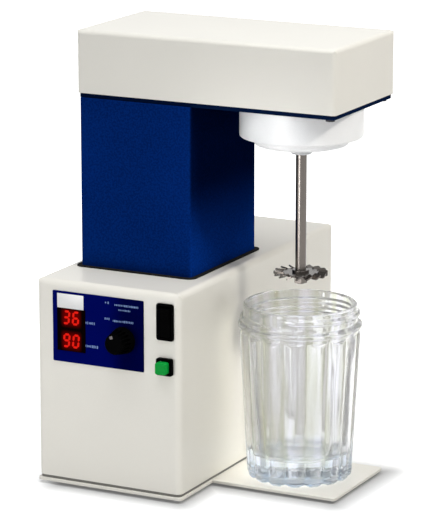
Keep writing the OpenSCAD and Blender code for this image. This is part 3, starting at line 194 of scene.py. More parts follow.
def soften(node, edge):
    """Puts a copy with rounded edges in the place of a dressed CAD node."""
    source = frame["nodes"][node]
    shape = bmesh.new()
    shape.from_mesh(source.data)
    bmesh.ops.remove_doubles(shape, verts=shape.verts[:], dist=merge_gap)
    bmesh.ops.dissolve_limit(shape, angle_limit=flat_angle, verts=shape.verts[:], edges=shape.edges[:])
    sharp = [e for e in shape.edges if e.is_convex and e.calc_face_angle() > sharp_angle]
    made = bmesh.ops.bevel(shape, geom=sharp, offset=edge, segments=3, profile=0.5, affect="EDGES")
    for face in made["faces"]:
        face.smooth = True
    piece = bpy.data.objects.new(f"{node}_soft", bpy.data.meshes.new(f"{node}_soft"))
    bpy.context.scene.collection.objects.link(piece)
    shape.to_mesh(piece.data)
    shape.free()
    piece.data.materials.append(source.data.materials[0])
    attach(piece, source["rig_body"])
    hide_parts(node)


cream = (0.735, 0.71, 0.645)
plate_edge = 0.0004
cream_coat = powder_coat("cream coat", cream, grain=900.0, depth=0.00012, roughness=0.36, gloss=0.4,
                         lacquer=0.1)
dress(cream_coat, "base_plate")
soften("base_plate", plate_edge)


# Rubber feet and base gasket: pressed black rubber discs under the plate, and a die-cut rubber strip
# that seals the housing's lower edge and shows as a dark line above the plate. The seal round the
# column and the drive belt are of the same black rubber.
def rubber(name, colour):
    material, shader, place = finish(name, Roughness=0.8, Specular_IOR_Level=0.03)
    speck = noise(place, 1400.0)
    speck.tint(shade(colour, 0.7), shade(colour, 1.35)).into(shader, "Base Color")
    speck.bump(0.3, 0.00015).into(shader, "Normal")
    return material


dress(rubber("black rubber", (0.012, 0.012, 0.012)), "rubber_feet", "column_seal", "drive_belt")
dress(rubber("grey rubber", (0.2, 0.195, 0.18)), "base_gasket")


# Base housing: a folded steel shell, open below and screwed down through the plate. Its bent edges
# are round, and it wears the same cream coat as the plate.
dress(cream_coat, "base_housing")


# Screws, nuts and other small hardware: rolled steel, zinc plated, with fine tool marks and a
# slightly patchy plating.
def bare_metal(name, colour, roughness, grain):
    """Metal whose tint and gloss follow fine tool marks of so many lines a metre."""
    material, shader, place = finish(name, Metallic=1.0)
    mark = noise(place, grain, 4.0)
    patch = noise(place, 60.0, 2.0)
    wear = 0.5 * mark + 0.5 * patch
    wear.tint(shade(colour, 0.82), shade(colour, 1.12)).into(shader, "Base Color")
    (roughness + 0.18 * (mark - 0.5)).into(shader, "Roughness")
    mark.bump(0.12, 0.0001).into(shader, "Normal")
    return material


zinc = bare_metal("zinc plate", (0.52, 0.53, 0.55), roughness=0.34, grain=1800.0)
dress(zinc, "base_screws", "rod_screws", "inlet_screws", "column_screws", "motor_screws",
      "bearing_screws", "cap_screws", "selector_nut", "selector_shaft", "bearing_outer_rings",
      "bearing_inner_rings", "bearing_balls_set")
dress(bare_metal("blackened steel", (0.05, 0.05, 0.055), roughness=0.5, grain=1800.0), "cover_screws")


# Lifting guide inside the column: two ground steel rods, an aluminium carriage plate and two turned
# brass bushes that run on the rods. Shafts, pulleys, spacers and the inlet's blades are of the same
# three metals.
ground_steel = bare_metal("ground steel", (0.5, 0.49, 0.48), roughness=0.22, grain=2600.0)
aluminium = bare_metal("machined aluminium", (0.66, 0.67, 0.69), roughness=0.38, grain=1500.0)
brass = bare_metal("turned brass", (0.66, 0.5, 0.22), roughness=0.32, grain=1700.0)
dress(ground_steel, "guide_rods", "motor_shaft")
dress(aluminium, "column_carriage", "bearing_housing", "motor_pulley", "spindle_pulley", "heat_sink")
dress(brass, "guide_bushes", "board_spacers", "drive_spacers", "inlet_blades")


# Circuit boards and transformer inside the housing: green glass-fibre boards on spacers, and a
# varnished core of stamped sheets with a taped winding. The motor's can is painted dark.
def moulded(name, colour, roughness, grain=2200.0, gloss=0.3):
    """Moulded or varnished plastic with a fine skin of so many grains a metre."""
    material, shader, place = finish(name, Specular_IOR_Level=gloss)
    skin = noise(place, grain)
    cloud = noise(place, 25.0)
    mottle = 0.5 * skin + 0.5 * cloud
    mottle.tint(shade(colour, 0.86), shade(colour, 1.14)).into(shader, "Base Color")
    (roughness + 0.14 * (skin - 0.5)).into(shader, "Roughness")
    skin.bump(0.15, 0.0001).into(shader, "Normal")
    return material


dress(moulded("solder mask", (0.02, 0.16, 0.06), roughness=0.35), "control_board", "drive_board")
dress(moulded("core varnish", (0.09, 0.085, 0.075), roughness=0.45), "transformer_core")
dress(moulded("winding tape", (0.36, 0.16, 0.05), roughness=0.5), "transformer_coil")
dress(moulded("motor paint", (0.03, 0.032, 0.036), roughness=0.45), "motor")


# Mains inlet, power switch and other black mouldings: matt black nylon. The inlet is screwed to the
# housing's back, the switch frame sits in an opening of its front, and a nut holds the button's bezel.
moulding_edge = 0.0005
black_moulding = moulded("black moulding", (0.001, 0.001, 0.0011), roughness=0.42, gloss=0.004)
dress(black_moulding, "power_inlet", "selector_body", "selector_knob", "switch_frame", "switch_rocker",
      "button_bezel", "button_nut")
for node in ("power_inlet", "switch_frame", "switch_rocker", "button_bezel"):
    soften(node, moulding_edge)


# Control panel: a navy foil on a thin plate, glued to the housing's front. The foil is printed from
# behind and carries a blank white card above the displays; towards its right edge it has painted shade.
navy = (0.0003, 0.0024, 0.093)
foil_grain = 3200.0
shade_right_start = 0.034
shade_right_end = 0.016
panel_edge = 0.0003
panel_low, panel_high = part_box("control_panel")
panel_face = panel_low.y
foil, shader, place = finish("navy foil", Roughness=0.4, Specular_IOR_Level=0.0)
x = place.node("ShaderNodeSeparateXYZ", out="X", sockets={0: place})
# Painted shade: the navy darkens towards the panel's right edge, beside the knob, where its shade
# falls.
painted_shade_right = x.fade(panel_high.x - shade_right_start, panel_high.x - shade_right_end)
print_tone_and_shade = (0.8 + 0.2 * noise(place, foil_grain)) * (1 - 0.55 * painted_shade_right)
print_tone_and_shade.tint((0.0, 0.0, 0.0), shade(navy, 1.12)).into(shader, "Base Color")
noise(place, foil_grain).bump(0.1, 0.0001).into(shader, "Normal")
dress(foil, "control_panel")
soften("control_panel", panel_edge)


def card(name, low, high, edge, material):
    """A flat block between two corners, with its edges broken."""
    piece = bpy.data.objects.new(name, bpy.data.meshes.new(name))
    bpy.context.scene.collection.objects.link(piece)
    block = bmesh.new()
    size = Vector(high) - Vector(low)
    middle = (Vector(high) + Vector(low)) / 2
    in_place = Matrix.Translation(middle) @ Matrix.Diagonal((*size, 1.0))
    bmesh.ops.create_cube(block, size=1.0, matrix=in_place)
    bmesh.ops.bevel(block, geom=block.edges[:], offset=edge, segments=1, profile=0.5, affect="EDGES")
    block.to_mesh(piece.data)
    block.free()
    piece.data.materials.append(material)
    piece.data.shade_smooth()
    return piece


def place_on(piece, body):
    """Puts a new piece on its body."""
    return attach(piece, body)


label_w = 0.0245
label_h = 0.012
label_t = 0.0003
label_edge = 0.0001
label_inset = 0.0003
window_low, window_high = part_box("display_window")
label_x = window_low.x + label_inset
label = card("bare_label", (label_x, panel_face - label_t, window_high.z),
             (label_x + label_w, panel_face, window_high.z + label_h), label_edge,
             moulded("label card", (0.78, 0.78, 0.77), roughness=0.45))
place_on(label, "base")


# Captions: rows of plain bars in pale ink, screen-printed on the foil beside the displays and above
# the knob.
def new_tree(name, **inputs):
    """A Geometry Nodes tree with named inputs: itself, and the start mesh and inputs as wires."""
    tree = bpy.data.node_groups.new(name, "GeometryNodeTree")
    tree.interface.new_socket("Start", in_out="INPUT", socket_type="NodeSocketGeometry")
    for label, kind in inputs.items():
        tree.interface.new_socket(label, in_out="INPUT", socket_type=f"NodeSocket{kind}")
    tree.interface.new_socket("Finish", in_out="INPUT", socket_type="NodeSocketMaterial")
    tree.interface.new_socket("Result", in_out="OUTPUT", socket_type="NodeSocketGeometry")
    given = tree.nodes.new("NodeGroupInput")
    return tree, {socket.name: Wire(tree, socket) for socket in given.outputs if socket.name}


def end_tree(given, shape):
    """Ends a tree: its instances become mesh and take the finish."""
    whole = shape.node("GeometryNodeRealizeInstances", sockets={0: shape})
    painted = shape.node("GeometryNodeSetMaterial", sockets={0: whole, "Material": given["Finish"]})
    result = shape.tree.nodes.new("NodeGroupOutput")
    shape.tree.links.new(painted.socket, result.inputs[0])


def grow(piece, tree, **values):
    """Runs a tree on a piece with these inputs and keeps the result as the piece's own mesh."""
    modifier = piece.modifiers.new(tree.name, "NODES")
    modifier.node_group = tree
    for item in tree.interface.items_tree:
        if item.in_out == "INPUT" and item.name in values:
            modifier[item.identifier] = values[item.name]
    bpy.context.view_layer.update()
    shaped = piece.evaluated_get(bpy.context.evaluated_depsgraph_get())
    grown = bpy.data.meshes.new_from_object(shaped)
    piece.modifiers.clear()
    piece.data = grown
    return piece


def move(piece, x, y, z):
    """Puts a piece's place into its mesh."""
    piece.data.transform(Matrix.Translation((x, y, z)))
    return piece


tree, given = new_tree("rows of print", Pitch="Float", Thickness="Float", Seed="Int")
rows = given["Start"].node("GeometryNodeMeshToCurve", sockets={"Mesh": given["Start"]})
spots = rows.node("GeometryNodeCurveToPoints", settings={"mode": "LENGTH"},
                  sockets={"Curve": rows, "Length": given["Pitch"]})
tall = rows.node("GeometryNodeInputNamedAttribute", settings={"data_type": "FLOAT"},
                 sockets={"Name": "tall"})
share = rows.node("FunctionNodeRandomValue", out=1, sockets={2: 0.4, 3: 0.85, "Seed": given["Seed"]})
level = rows.node("FunctionNodeRandomValue", out=1,
                  sockets={2: 0.6, 3: 1.0, "Seed": given["Seed"] + 1})
size = rows.node("ShaderNodeCombineXYZ",
                 sockets={"X": given["Pitch"] * share, "Y": given["Thickness"], "Z": tall * level})
bar = rows.node("GeometryNodeMeshCube", sockets={"Size": (1.0, 1.0, 1.0)})
end_tree(given, rows.node("GeometryNodeInstanceOnPoints",
                          sockets={"Points": spots, "Instance": bar, "Scale": size}))

ink_t = 0.0001
ink_pitch = 0.0014
ink_seed = 7
# Each row's left and right ends from the panel's left edge, its middle below the panel's top edge, and
# its height, in millimetres.
ink_rows = [(29.8, 38.9, 24.1, 2.2), (30.7, 41.6, 43.6, 2.4), (49.6, 52.0, 5.0, 1.9),
            (58.2, 79.2, 6.0, 1.9), (61.9, 71.9, 9.9, 1.7), (49.1, 52.6, 18.4, 2.0),
            (56.4, 63.6, 19.5, 1.9), (65.6, 74.6, 19.3, 1.9)]
captions = bpy.data.objects.new("captions", bpy.data.meshes.new("captions"))
bpy.context.scene.collection.objects.link(captions)
ends = [(panel_low.x + x / 1000, panel_face - ink_t / 2, panel_high.z - down / 1000)
        for left, right, down, height in ink_rows for x in (left, right)]
captions.data.from_pydata(ends, [(2 * i, 2 * i + 1) for i in range(len(ink_rows))], [])
tallness = captions.data.attributes.new("tall", "FLOAT", "POINT")
for i, value in enumerate(tallness.data):
    value.value = ink_rows[i // 2][3] / 1000
grow(captions, tree, Pitch=ink_pitch, Thickness=ink_t, Seed=ink_seed,
     Finish=moulded("pale ink", (0.2, 0.29, 0.55), roughness=0.5, grain=foil_grain, gloss=0.0))
place_on(captions, "base")


# Displays: two light modules with two red seven-segment digits each behind one smoked window, the
# upper one for the speed and the lower one for the time.
digit_h = 0.01
digit_w = 0.0048
digit_pitch = 0.0087
digit_slant = math.tan(math.radians(6))
digit_shift = 0.0001
speed_lift = 0.0014
stroke = 0.0021
stroke_gap = 0.12 * stroke
lit_t = 0.00012
glow_aside = (0.0055, 0.0105)
glow_above = (0.003, 0.0095)
window_edge = 0.0002
digit_rows = []
for node, lift in (("speed_display", speed_lift), ("timer_display", 0.0)):
    low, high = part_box(node)
    middle = (low + high) / 2
    digit_rows.append(Vector((middle.x + digit_shift, window_low.y, middle.z + lift)))

smoked, shader, place = finish("smoked window", Roughness=0.16, Specular_IOR_Level=0.0,
                               Emission_Strength=1.0)
x, z = (place.node("ShaderNodeSeparateXYZ", out=axis, sockets={0: place}) for axis in "XZ")
glow = 0.0
for middle in digit_rows:
    aside = place.math("ABSOLUTE", x - middle.x).fade(*glow_aside)
    above = place.math("ABSOLUTE", z - middle.z).fade(*glow_above)
    glow = (1 - aside) * (1 - above) + glow
glow.tint((0.0, 0.0, 0.0), (0.12, 0.0, 0.0)).into(shader, "Emission Color")
noise(place, 40.0).tint((0.002, 0.0005, 0.0005), (0.003, 0.001, 0.001)).into(shader, "Base Color")
noise(place, 900.0).bump(0.02, 0.0001).into(shader, "Normal")
dress(smoked, "display_window")
soften("display_window", window_edge)
dress(moulded("display case", (0.3, 0.012, 0.012), roughness=0.3), "speed_display", "timer_display")

segment_ends = {"a": ((0, 2), (1, 2)), "b": ((1, 2), (1, 1)), "c": ((1, 1), (1, 0)),
                "d": ((0, 0), (1, 0)), "e": ((0, 1), (0, 0)), "f": ((0, 2), (0, 1)),
                "g": ((0, 1), (1, 1))}
lit_segments = {"0": "abcdef", "3": "abcdg", "6": "acdefg", "9": "abcdfg"}
lit_red, shader, place = finish("lit red", Base_Color=(0.08, 0.001, 0.001, 1.0), Roughness=0.4,
                                Specular_IOR_Level=0.0, Emission_Strength=1.0)
noise(place, 1500.0).tint((0.62, 0.008, 0.004), (0.8, 0.016, 0.008)).into(shader, "Emission Color")


def add_segment(shape, start, end):
    """One six-sided bar of a digit, from its start to its end, with pointed ends."""
    along = (end - start).normalized()
    across = Vector((-along.z, 0, along.x))
    tip, corner = start + along * stroke_gap, start + along * stroke / 2
    far, far_corner = end - along * stroke_gap, end - along * stroke / 2
    half = across * (stroke / 2 - stroke_gap / 2)
    outline = [tip, corner + half, far_corner + half, far, far_corner - half, corner - half]
    back = [shape.verts.new((p.x + digit_slant * p.z, 0.0, p.z)) for p in outline]
    front = [shape.verts.new((v.co.x, -lit_t, v.co.z)) for v in back]
    shape.faces.new(back)
    shape.faces.new(front)
    for i in range(len(back)):
        j = (i + 1) % len(back)
        shape.faces.new((back[i], back[j], front[j], front[i]))


def lit_digits(name, number, middle):
    """A row of lit digits on the window's face, round a middle point."""
    shape = bmesh.new()
    for index, digit in enumerate(number):
        left = (index - (len(number) - 1) / 2) * digit_pitch - digit_w / 2
        for key in lit_segments[digit]:
            start, end = (Vector((left + u * digit_w, 0, (v - 1) * digit_h / 2))
                          for u, v in segment_ends[key])
            add_segment(shape, start, end)
    bmesh.ops.recalc_face_normals(shape, faces=shape.faces[:])
    piece = bpy.data.objects.new(name, bpy.data.meshes.new(name))
    bpy.context.scene.collection.objects.link(piece)
    shape.to_mesh(piece.data)
    shape.free()
    piece.data.transform(Matrix.Translation(middle))
    piece.data.materials.append(lit_red)
    return place_on(piece, "base")


lit_digits("speed_digits", "36", digit_rows[0])
lit_digits("timer_digits", "90", digit_rows[1])


# Selector knob's pointer: a line of grey ink in a groove of the fluted black knob, which
# is pressed on the selector's spindle.
dress(moulded("grey pointer ink", (0.2, 0.18, 0.18), roughness=0.5, gloss=0.0), "knob_pointer")


# Start button: a green moulded cap with rounded edges that slides in its black bezel and is pushed
# out again by a spring behind it.
button_edge = 0.0006
green = moulded("green moulding", (0.003, 0.29, 0.04), roughness=0.28, grain=1800.0, gloss=0.04)
dress(green, "start_button")
soften("start_button", button_edge)


# Column sleeve: a square steel tube that slides down into the housing, coated dark blue with a
# coarse, leathery skin. Its right face, under the head's overhang, has painted shade: darker high up,
# lighter near the foot.
blue = (0.0008, 0.0185, 0.138)
column_grain = 620.0
column_bend = 0.0015
shade_top_from = 0.125
shade_top_to = 0.06
column_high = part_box("column_sleeve")[1]
blue_coat, shader, place = finish("blue coat", Specular_IOR_Level=0.0)
drift = noise(place, coat_drift, 3.0)
pebble = noise(place, column_grain, 3.0)
x, height = (place.node("ShaderNodeSeparateXYZ", out=axis, sockets={0: place}) for axis in "XZ")
# Painted shade on the right face under the head: darker towards the top and lighter near the foot.
shaded_right_face = x.fade(column_high.x - column_bend, column_high.x)
shade_toward_top = height.fade(column_high.z - shade_top_from, column_high.z - shade_top_to)
mottle = 0.4 * drift + 0.3 * pebble.fade(0.35, 0.65) + 0.45
mottle_and_shade = mottle * (1 + shaded_right_face * (0.6 - 1.35 * shade_toward_top))
(0.65 * mottle_and_shade).tint((0.0, 0.0, 0.0), shade(blue, 1.7)).into(shader, "Base Color")
(0.4 + 0.12 * (drift - 0.5)).into(shader, "Roughness")
pebble.bump(0.35, 0.00035).into(shader, "Normal")
dress(blue_coat, "column_sleeve")


# Head: a dark painted steel plate on the column's lugs, which carries the motor and the spindle, and a
# folded cream cover, held by screws from below.
dark_coat = powder_coat("dark coat", (0.002, 0.009, 0.04), grain=1100.0, depth=0.0001, roughness=0.4,
                        gloss=0.0, lacquer=0.0)
dress(dark_coat, "head_plate")
dress(cream_coat, "head_cover")


# Splash cap and shaft seal: plastic turned on a lathe, the cap white and the seal pale grey. The cap
# hangs from screws under the head plate, and the seal sits in the bore of its plug.
white_plastic = moulded("turned white plastic", (0.95, 0.95, 0.95), roughness=0.34, grain=1500.0,
                        gloss=0.4)
seal_plastic = moulded("seal plastic", (0.55, 0.55, 0.56), roughness=0.4)
dress(white_plastic, "splash_cap")
dress(seal_plastic, "shaft_seal")


# Stirrer shaft and nut: a ground stainless rod that hangs from the spindle's bearings, with a
# hexagon nut on its lower end that holds the impeller up against a step.
stainless = bare_metal("stainless steel", (0.12, 0.107, 0.098), roughness=0.24, grain=2400.0)
dress(stainless, "stirrer_shaft", "impeller_nut")


# Impeller: a stamped stainless wheel on a turned hub. Sixteen blades stand out of its disc, each with
# its free corners rounded and twisted out of the disc's plane by the same angle.
def revolve(name, profile, columns):
    """A mesh round the Z axis from a list of radius and height, closed where the radius is 0."""
    shape = bmesh.new()
    angles = [2 * math.pi * i / columns for i in range(columns)]
    turns = [(math.cos(a), math.sin(a)) for a in angles]
    rows = [[shape.verts.new((r * c, r * s, z)) for c, s in (turns if r else turns[:1])]
            for r, z in profile]
    for low, high in zip(rows, rows[1:]):
        for i in range(columns):
            j = (i + 1) % columns
            corners = [low[i % len(low)], low[j % len(low)], high[j % len(high)], high[i % len(high)]]
            shape.faces.new(dict.fromkeys(corners))
    bmesh.ops.recalc_face_normals(shape, faces=shape.faces[:])
    piece = bpy.data.objects.new(name, bpy.data.meshes.new(name))
    bpy.context.scene.collection.objects.link(piece)
    shape.to_mesh(piece.data)
    shape.free()
    return piece


tree, given = new_tree("blades round a hub", Blades="Int", Reach="Float", Length="Float", Width="Float",
                       Thickness="Float", Corner="Float", Slope="Float")
outline = given["Length"].node("GeometryNodeCurvePrimitiveQuadrilateral",
                               sockets={"Width": given["Length"], "Height": given["Width"]})
outline = outline.node("GeometryNodeFilletCurve", settings={"mode": "POLY"},
                       sockets={"Curve": outline, "Count": 4, "Radius": given["Corner"]})
face = outline.node("GeometryNodeFillCurve", settings={"mode": "NGONS"}, sockets={"Curve": outline})
front = face.node("GeometryNodeExtrudeMesh",
                  sockets={"Mesh": face, "Offset Scale": given["Thickness"], "Individual": False})
back = face.node("GeometryNodeFlipFaces", sockets={"Mesh": face})
blade = face.node("GeometryNodeJoinGeometry", sockets={0: [front, back]})
blade = face.node("GeometryNodeMergeByDistance", sockets={0: blade})
flat = face.node("ShaderNodeCombineXYZ", sockets={"Z": given["Thickness"] * -0.5})
tilt = face.node("ShaderNodeCombineXYZ", sockets={"X": given["Slope"]})
out = face.node("ShaderNodeCombineXYZ", sockets={"X": given["Reach"] - 0.5 * given["Length"]})
blade = face.node("GeometryNodeTransform", sockets={0: blade, "Translation": flat})
blade = face.node("GeometryNodeTransform", sockets={0: blade, "Translation": out, "Rotation": tilt})
spots = face.node("GeometryNodePoints", sockets={"Count": given["Blades"]})
turn = face.node("GeometryNodeInputIndex") * (2 * math.pi) / given["Blades"]
round_axis = face.node("ShaderNodeCombineXYZ", sockets={"Z": turn})
ring = face.node("GeometryNodeInstanceOnPoints",
                 sockets={"Points": spots, "Instance": blade, "Rotation": round_axis})
end_tree(given, face.node("GeometryNodeJoinGeometry", sockets={0: [given["Start"], ring]}))

blades = 16
blade_l = 0.0075
blade_w = 0.0066
blade_t = 0.0012
blade_corner = 0.0014
blade_root = 0.001
blade_slope = math.radians(30)
hub_r = 0.007
hub_h = 0.006
bore_r = 0.0045
disc_t = 0.0016
disc_edge = 0.0003
wheel_low, wheel_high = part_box("impeller")
wheel_r = (wheel_high.x - wheel_low.x) / 2
wheel_z = (wheel_high.z + wheel_low.z) / 2
wheel_x, wheel_y = ((wheel_low + wheel_high) / 2).xy
hub_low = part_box("impeller_nut")[1].z - wheel_z
hub_high = hub_low + hub_h
disc_r = wheel_r - blade_l + blade_root
hub_profile = [(bore_r, hub_low), (hub_r - disc_edge, hub_low), (hub_r, hub_low + disc_edge),
               (hub_r, -disc_t / 2), (disc_r - disc_edge, -disc_t / 2), (disc_r, 0.0),
               (disc_r - disc_edge, disc_t / 2), (hub_r, disc_t / 2), (hub_r, hub_high - disc_edge),
               (hub_r - disc_edge, hub_high), (bore_r, hub_high), (bore_r, hub_low)]
impeller = revolve("impeller_wheel", hub_profile, 64)
grow(impeller, tree, Blades=blades, Reach=wheel_r, Length=blade_l, Width=blade_w, Thickness=blade_t,
     Corner=blade_corner, Slope=blade_slope, Finish=stainless)
move(impeller, wheel_x, wheel_y, wheel_z)
place_on(impeller, "spindle")
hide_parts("impeller")


# Mixing jar: heavy pressed glass with sixteen round lobes that rise from a scalloped foot and end in
# arches under the shoulder. A moulded ring and a screw thread run round its neck, and it stands loose
# on the platform.
def arc(centre_r, centre_z, radius, start, end, steps):
    """Points of a profile along an arc, from one angle to another in degrees."""
    angles = [math.radians(start + (end - start) * i / steps) for i in range(steps + 1)]
    return [(centre_r + radius * math.cos(a), centre_z + radius * math.sin(a)) for a in angles]


def rise(start, end, steps):
    """Points of a profile along a straight stretch, without its ends."""
    return [tuple(Vector(start).lerp(Vector(end), i / steps)) for i in range(1, steps)]


jar_low, jar_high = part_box("mixing_jar")
jar_x, jar_y = ((jar_low + jar_high) / 2).xy
jar_h = jar_high.z - jar_low.z
foot_r = 0.0435
foot_edge = 0.004
push_r = 0.033
push_up = 0.0015
shoulder_r = 0.0502
shoulder_z = 0.12
shoulder_arc = 0.0045
shoulder_turn = 58
collar_r = 0.048
neck_r = 0.047
rim_r = 0.0016
mouth_r = 0.0425
floor_z = 0.019
floor_r = 0.035
floor_arc = 0.008
lobe_r = 0.0145
foot_lobe_r = 0.0108
lobe_blend = 0.0008
arch_h = 0.0022
arch_top = 0.02
lobes = 16
lobe_turn = 9 / 360
lean = (shoulder_r - foot_r) / shoulder_z
collar_z = shoulder_z + shoulder_arc
inner_lean = 0.0008
bead_z = 0.1293
bead_rise = 0.0042
thread_top = 0.1418
thread_pitch = 0.0085
thread_rise = 0.0026
thread_half = 0.0036
draw_stretch = 0.06
draw_grain = 60.0
streak_grain = 190.0
blue_from = 0.006
blue_to = 0.03
neck_top = jar_h - rim_r
outside = [(0.0, push_up), (push_r - push_up, push_up)]
outside += arc(push_r, push_up, push_up, 180, 270, 4)[1:]
outside += arc(foot_r - foot_edge, foot_edge, foot_edge, 270, 360, 8)
outside += rise((foot_r + lean * foot_edge, foot_edge), (shoulder_r, shoulder_z), 70)
outside += arc(shoulder_r - shoulder_arc, shoulder_z, shoulder_arc, 0, shoulder_turn, 12)
outside += rise(outside[-1], (collar_r, collar_z), 3) + [(collar_r, collar_z)]
outside += rise((collar_r, collar_z), (neck_r, bead_z), 10)
outside += rise((neck_r, bead_z), (neck_r, neck_top), 52)
outside += arc(neck_r - rim_r, neck_top, rim_r, 0, 90, 6)
inside = arc(mouth_r + rim_r, neck_top, rim_r, 90, 180, 6)
inside += rise((mouth_r, neck_top), (floor_r + inner_lean, floor_z + floor_arc), 24)
inside += arc(floor_r - floor_arc, floor_z + floor_arc, floor_arc, 0, -90, 8) + [(0.0, floor_z)]
columns = 20 * lobes
jar = revolve("jar_body", outside + inside, columns)
skin = jar.data.attributes.new("outside", "FLOAT", "POINT")
outer_points = 1 + columns * (len(outside) - 1)
for point, value in enumerate(skin.data):
    value.value = 1.0 if point < outer_points else 0.0

jar_inputs = ("Lobes", "Turn", "Lobe", "Foot", "Lean", "Soft", "FootLobe", "Arch", "ArchTop", "Bead",
              "BeadRise", "ThreadTop", "Pitch", "ThreadRise", "Half")
tree, given = new_tree("lobed jar", **dict.fromkeys(jar_inputs, "Float"))
point = given["Start"].node("GeometryNodeInputPosition")
x, y, z = (point.node("ShaderNodeSeparateXYZ", out=axis, sockets={0: point}) for axis in "XYZ")
radius = point.math("SQRT", x * x + y * y)
turn = point.math("ARCTAN2", y, x) / (2 * math.pi)
step = 2 * math.pi / given["Lobes"]
in_lobe = point.math("FRACT", (turn - given["Turn"]) * given["Lobes"])
fold = point.math("ABSOLUTE", in_lobe - 0.5) * step
low_down = 1 - (z / given["ArchTop"]).fade(0.0, 1.0)
lobe = given["Lobe"] + (given["FootLobe"] - given["Lobe"]) * low_down
reach = given["Foot"] + given["Lean"] * z - lobe


def lobe_at(angle):
    """The distance from the jar's axis to a lobe's round face, at an angle from the lobe's middle."""
    side = reach * point.math("SINE", angle)
    depth = point.math("SQRT", lobe * lobe - side * side)
    return reach * point.math("COSINE", angle) + depth


swell = point.math("SMOOTH_MAX", lobe_at(fold), lobe_at(step - fold), given["Soft"])
lobed = point.math("SMOOTH_MIN", swell, radius, given["Soft"])


def ridge(height):
    """A round ridge across the neck at a height: 1 on its crest, 0 at its foot."""
    return 1 - (point.math("ABSOLUTE", z - height) / given["Half"]).fade(0.15, 1.0)


along = point.math("FRACT", turn + 0.25)
first = given["ThreadTop"] - given["Pitch"] * along
thread = point.math("MAXIMUM", ridge(first) * along.fade(0.0, 0.06),
                    ridge(first - given["Pitch"]) * (1 - along.fade(0.04, 0.12)))
bead = ridge(given["Bead"])
relief = point.math("MAXIMUM", given["ThreadRise"] * thread, given["BeadRise"] * bead)
outside_only = point.node("GeometryNodeInputNamedAttribute", settings={"data_type": "FLOAT"},
                          sockets={"Name": "outside"})
wider = (radius + outside_only * (lobed - radius + relief)) / radius
between = (fold / step * 2).fade(0.3, 1.0) * (radius / given["Foot"]).fade(0.8, 0.95)
lifted = z + outside_only * given["Arch"] * between * low_down
moved = point.node("ShaderNodeCombineXYZ", sockets={"X": x * wider, "Y": y * wider, "Z": lifted})
shape = point.node("GeometryNodeSetPosition", sockets={"Geometry": given["Start"], "Position": moved})
end_tree(given, point.node("GeometryNodeSetShadeSmooth", sockets={0: shape}))

glass, shader, place = finish("jar glass", Roughness=0.08, IOR=1.45, Transmission_Weight=0.9)
inner = place.node("ShaderNodeVectorMath", settings={"operation": "SUBTRACT"},
                   sockets={0: place, 1: (jar_x, jar_y, jar_low.z)})
drawn = inner.node("ShaderNodeVectorMath", settings={"operation": "MULTIPLY"},
                   sockets={0: inner, 1: (1.0, 1.0, draw_stretch)})
draw = noise(drawn, draw_grain)
across, deep, height = (inner.node("ShaderNodeSeparateXYZ", out=axis, sockets={0: inner})
                        for axis in "XYZ")
turn = inner.math("ARCTAN2", deep, across) / (2 * math.pi) - lobe_turn
groove = 2 * inner.math("ABSOLUTE", inner.math("FRACT", turn * lobes) - 0.5)
fine = noise(drawn, streak_grain).fade(0.36, 0.64)
# Painted refraction in the glass's tint: streaks from olive grey to lilac white stand in for the
# housing and the room seen through the glass, darker at the grooves between lobes; the drawn streaks
# among them vary at random. The thick foot is tinted blue.
streak_and_refraction = 0.35 * draw.fade(0.36, 0.64) + 0.4 * fine + 0.4 - 0.4 * groove.fade(0.3, 1.0)
clear = (height + 0.008 * draw).fade(blue_from, blue_to)
foot_tint_and_refraction = streak_and_refraction.tint((0.36, 0.5, 0.68), (0.78, 0.84, 0.92))
wall_refraction_tint = streak_and_refraction.tint((0.57, 0.585, 0.42), (0.9, 0.9, 0.98))
glass_tint_and_refraction = inner.node("ShaderNodeMix", out=2, settings={"data_type": "RGBA"},
                        sockets={"Factor": clear, 6: foot_tint_and_refraction, 7: wall_refraction_tint})
glass_tint_and_refraction.into(shader, "Base Color")
draw.bump(0.3, 0.006).into(shader, "Normal")
grow(jar, tree, Lobes=float(lobes), Turn=lobe_turn, Lobe=lobe_r, Foot=foot_r, Lean=lean,
     Soft=lobe_blend, FootLobe=foot_lobe_r, Arch=arch_h, ArchTop=arch_top, Bead=bead_z,
     BeadRise=bead_rise, ThreadTop=thread_top, Pitch=thread_pitch, ThreadRise=thread_rise,
     Half=thread_half, Finish=glass)
jar.visible_shadow = False
move(jar, jar_x, jar_y, jar_low.z)
place_on(jar, "jar")
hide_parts("mixing_jar")


# Table, light and camera: a plain white table with a painted shadow close to the plate, square lamps
# round the object in a white room, and a camera at the photograph's viewing angle.
table_half = 4.0
shade_inset = 0.02
shade_from = -0.01
shade_to = 0.036
white_from = 0.05
white_to = 0.4
floor = bpy.data.objects.new("table", bpy.data.meshes.new("table"))
bpy.context.scene.collection.objects.link(floor)
ground = bmesh.new()
bmesh.ops.create_grid(ground, x_segments=1, y_segments=1, size=table_half)
ground.to_mesh(floor.data)
ground.free()


def seen(tree):
    """1 for rays that show the background, straight or in metal and glass; 0 for rays of light."""
    camera, glossy, through = (Wire(tree).node("ShaderNodeLightPath", out=f"Is {kind} Ray")
                               for kind in ("Camera", "Glossy", "Transmission"))
    return camera.math("MAXIMUM", camera, camera.math("MAXIMUM", glossy, through))


table_white, shader, place = finish("table white", Roughness=0.9, Specular_IOR_Level=0.0,
                                    Emission_Strength=1.0)
x, y = (place.node("ShaderNodeSeparateXYZ", out=axis, sockets={0: place}) for axis in "XY")


def clearance(low, high):
    """The distance on the table from a rectangle between two corners."""
    middle = [(a + b) / 2 for a, b in zip(low, high)]
    half = [(b - a) / 2 for a, b in zip(low, high)]
    aside = x.math("MAXIMUM", x.math("ABSOLUTE", x - middle[0]) - half[0], 0.0)
    ahead = x.math("MAXIMUM", x.math("ABSOLUTE", y - middle[1]) - half[1], 0.0)
    return x.math("SQRT", aside * aside + ahead * ahead)


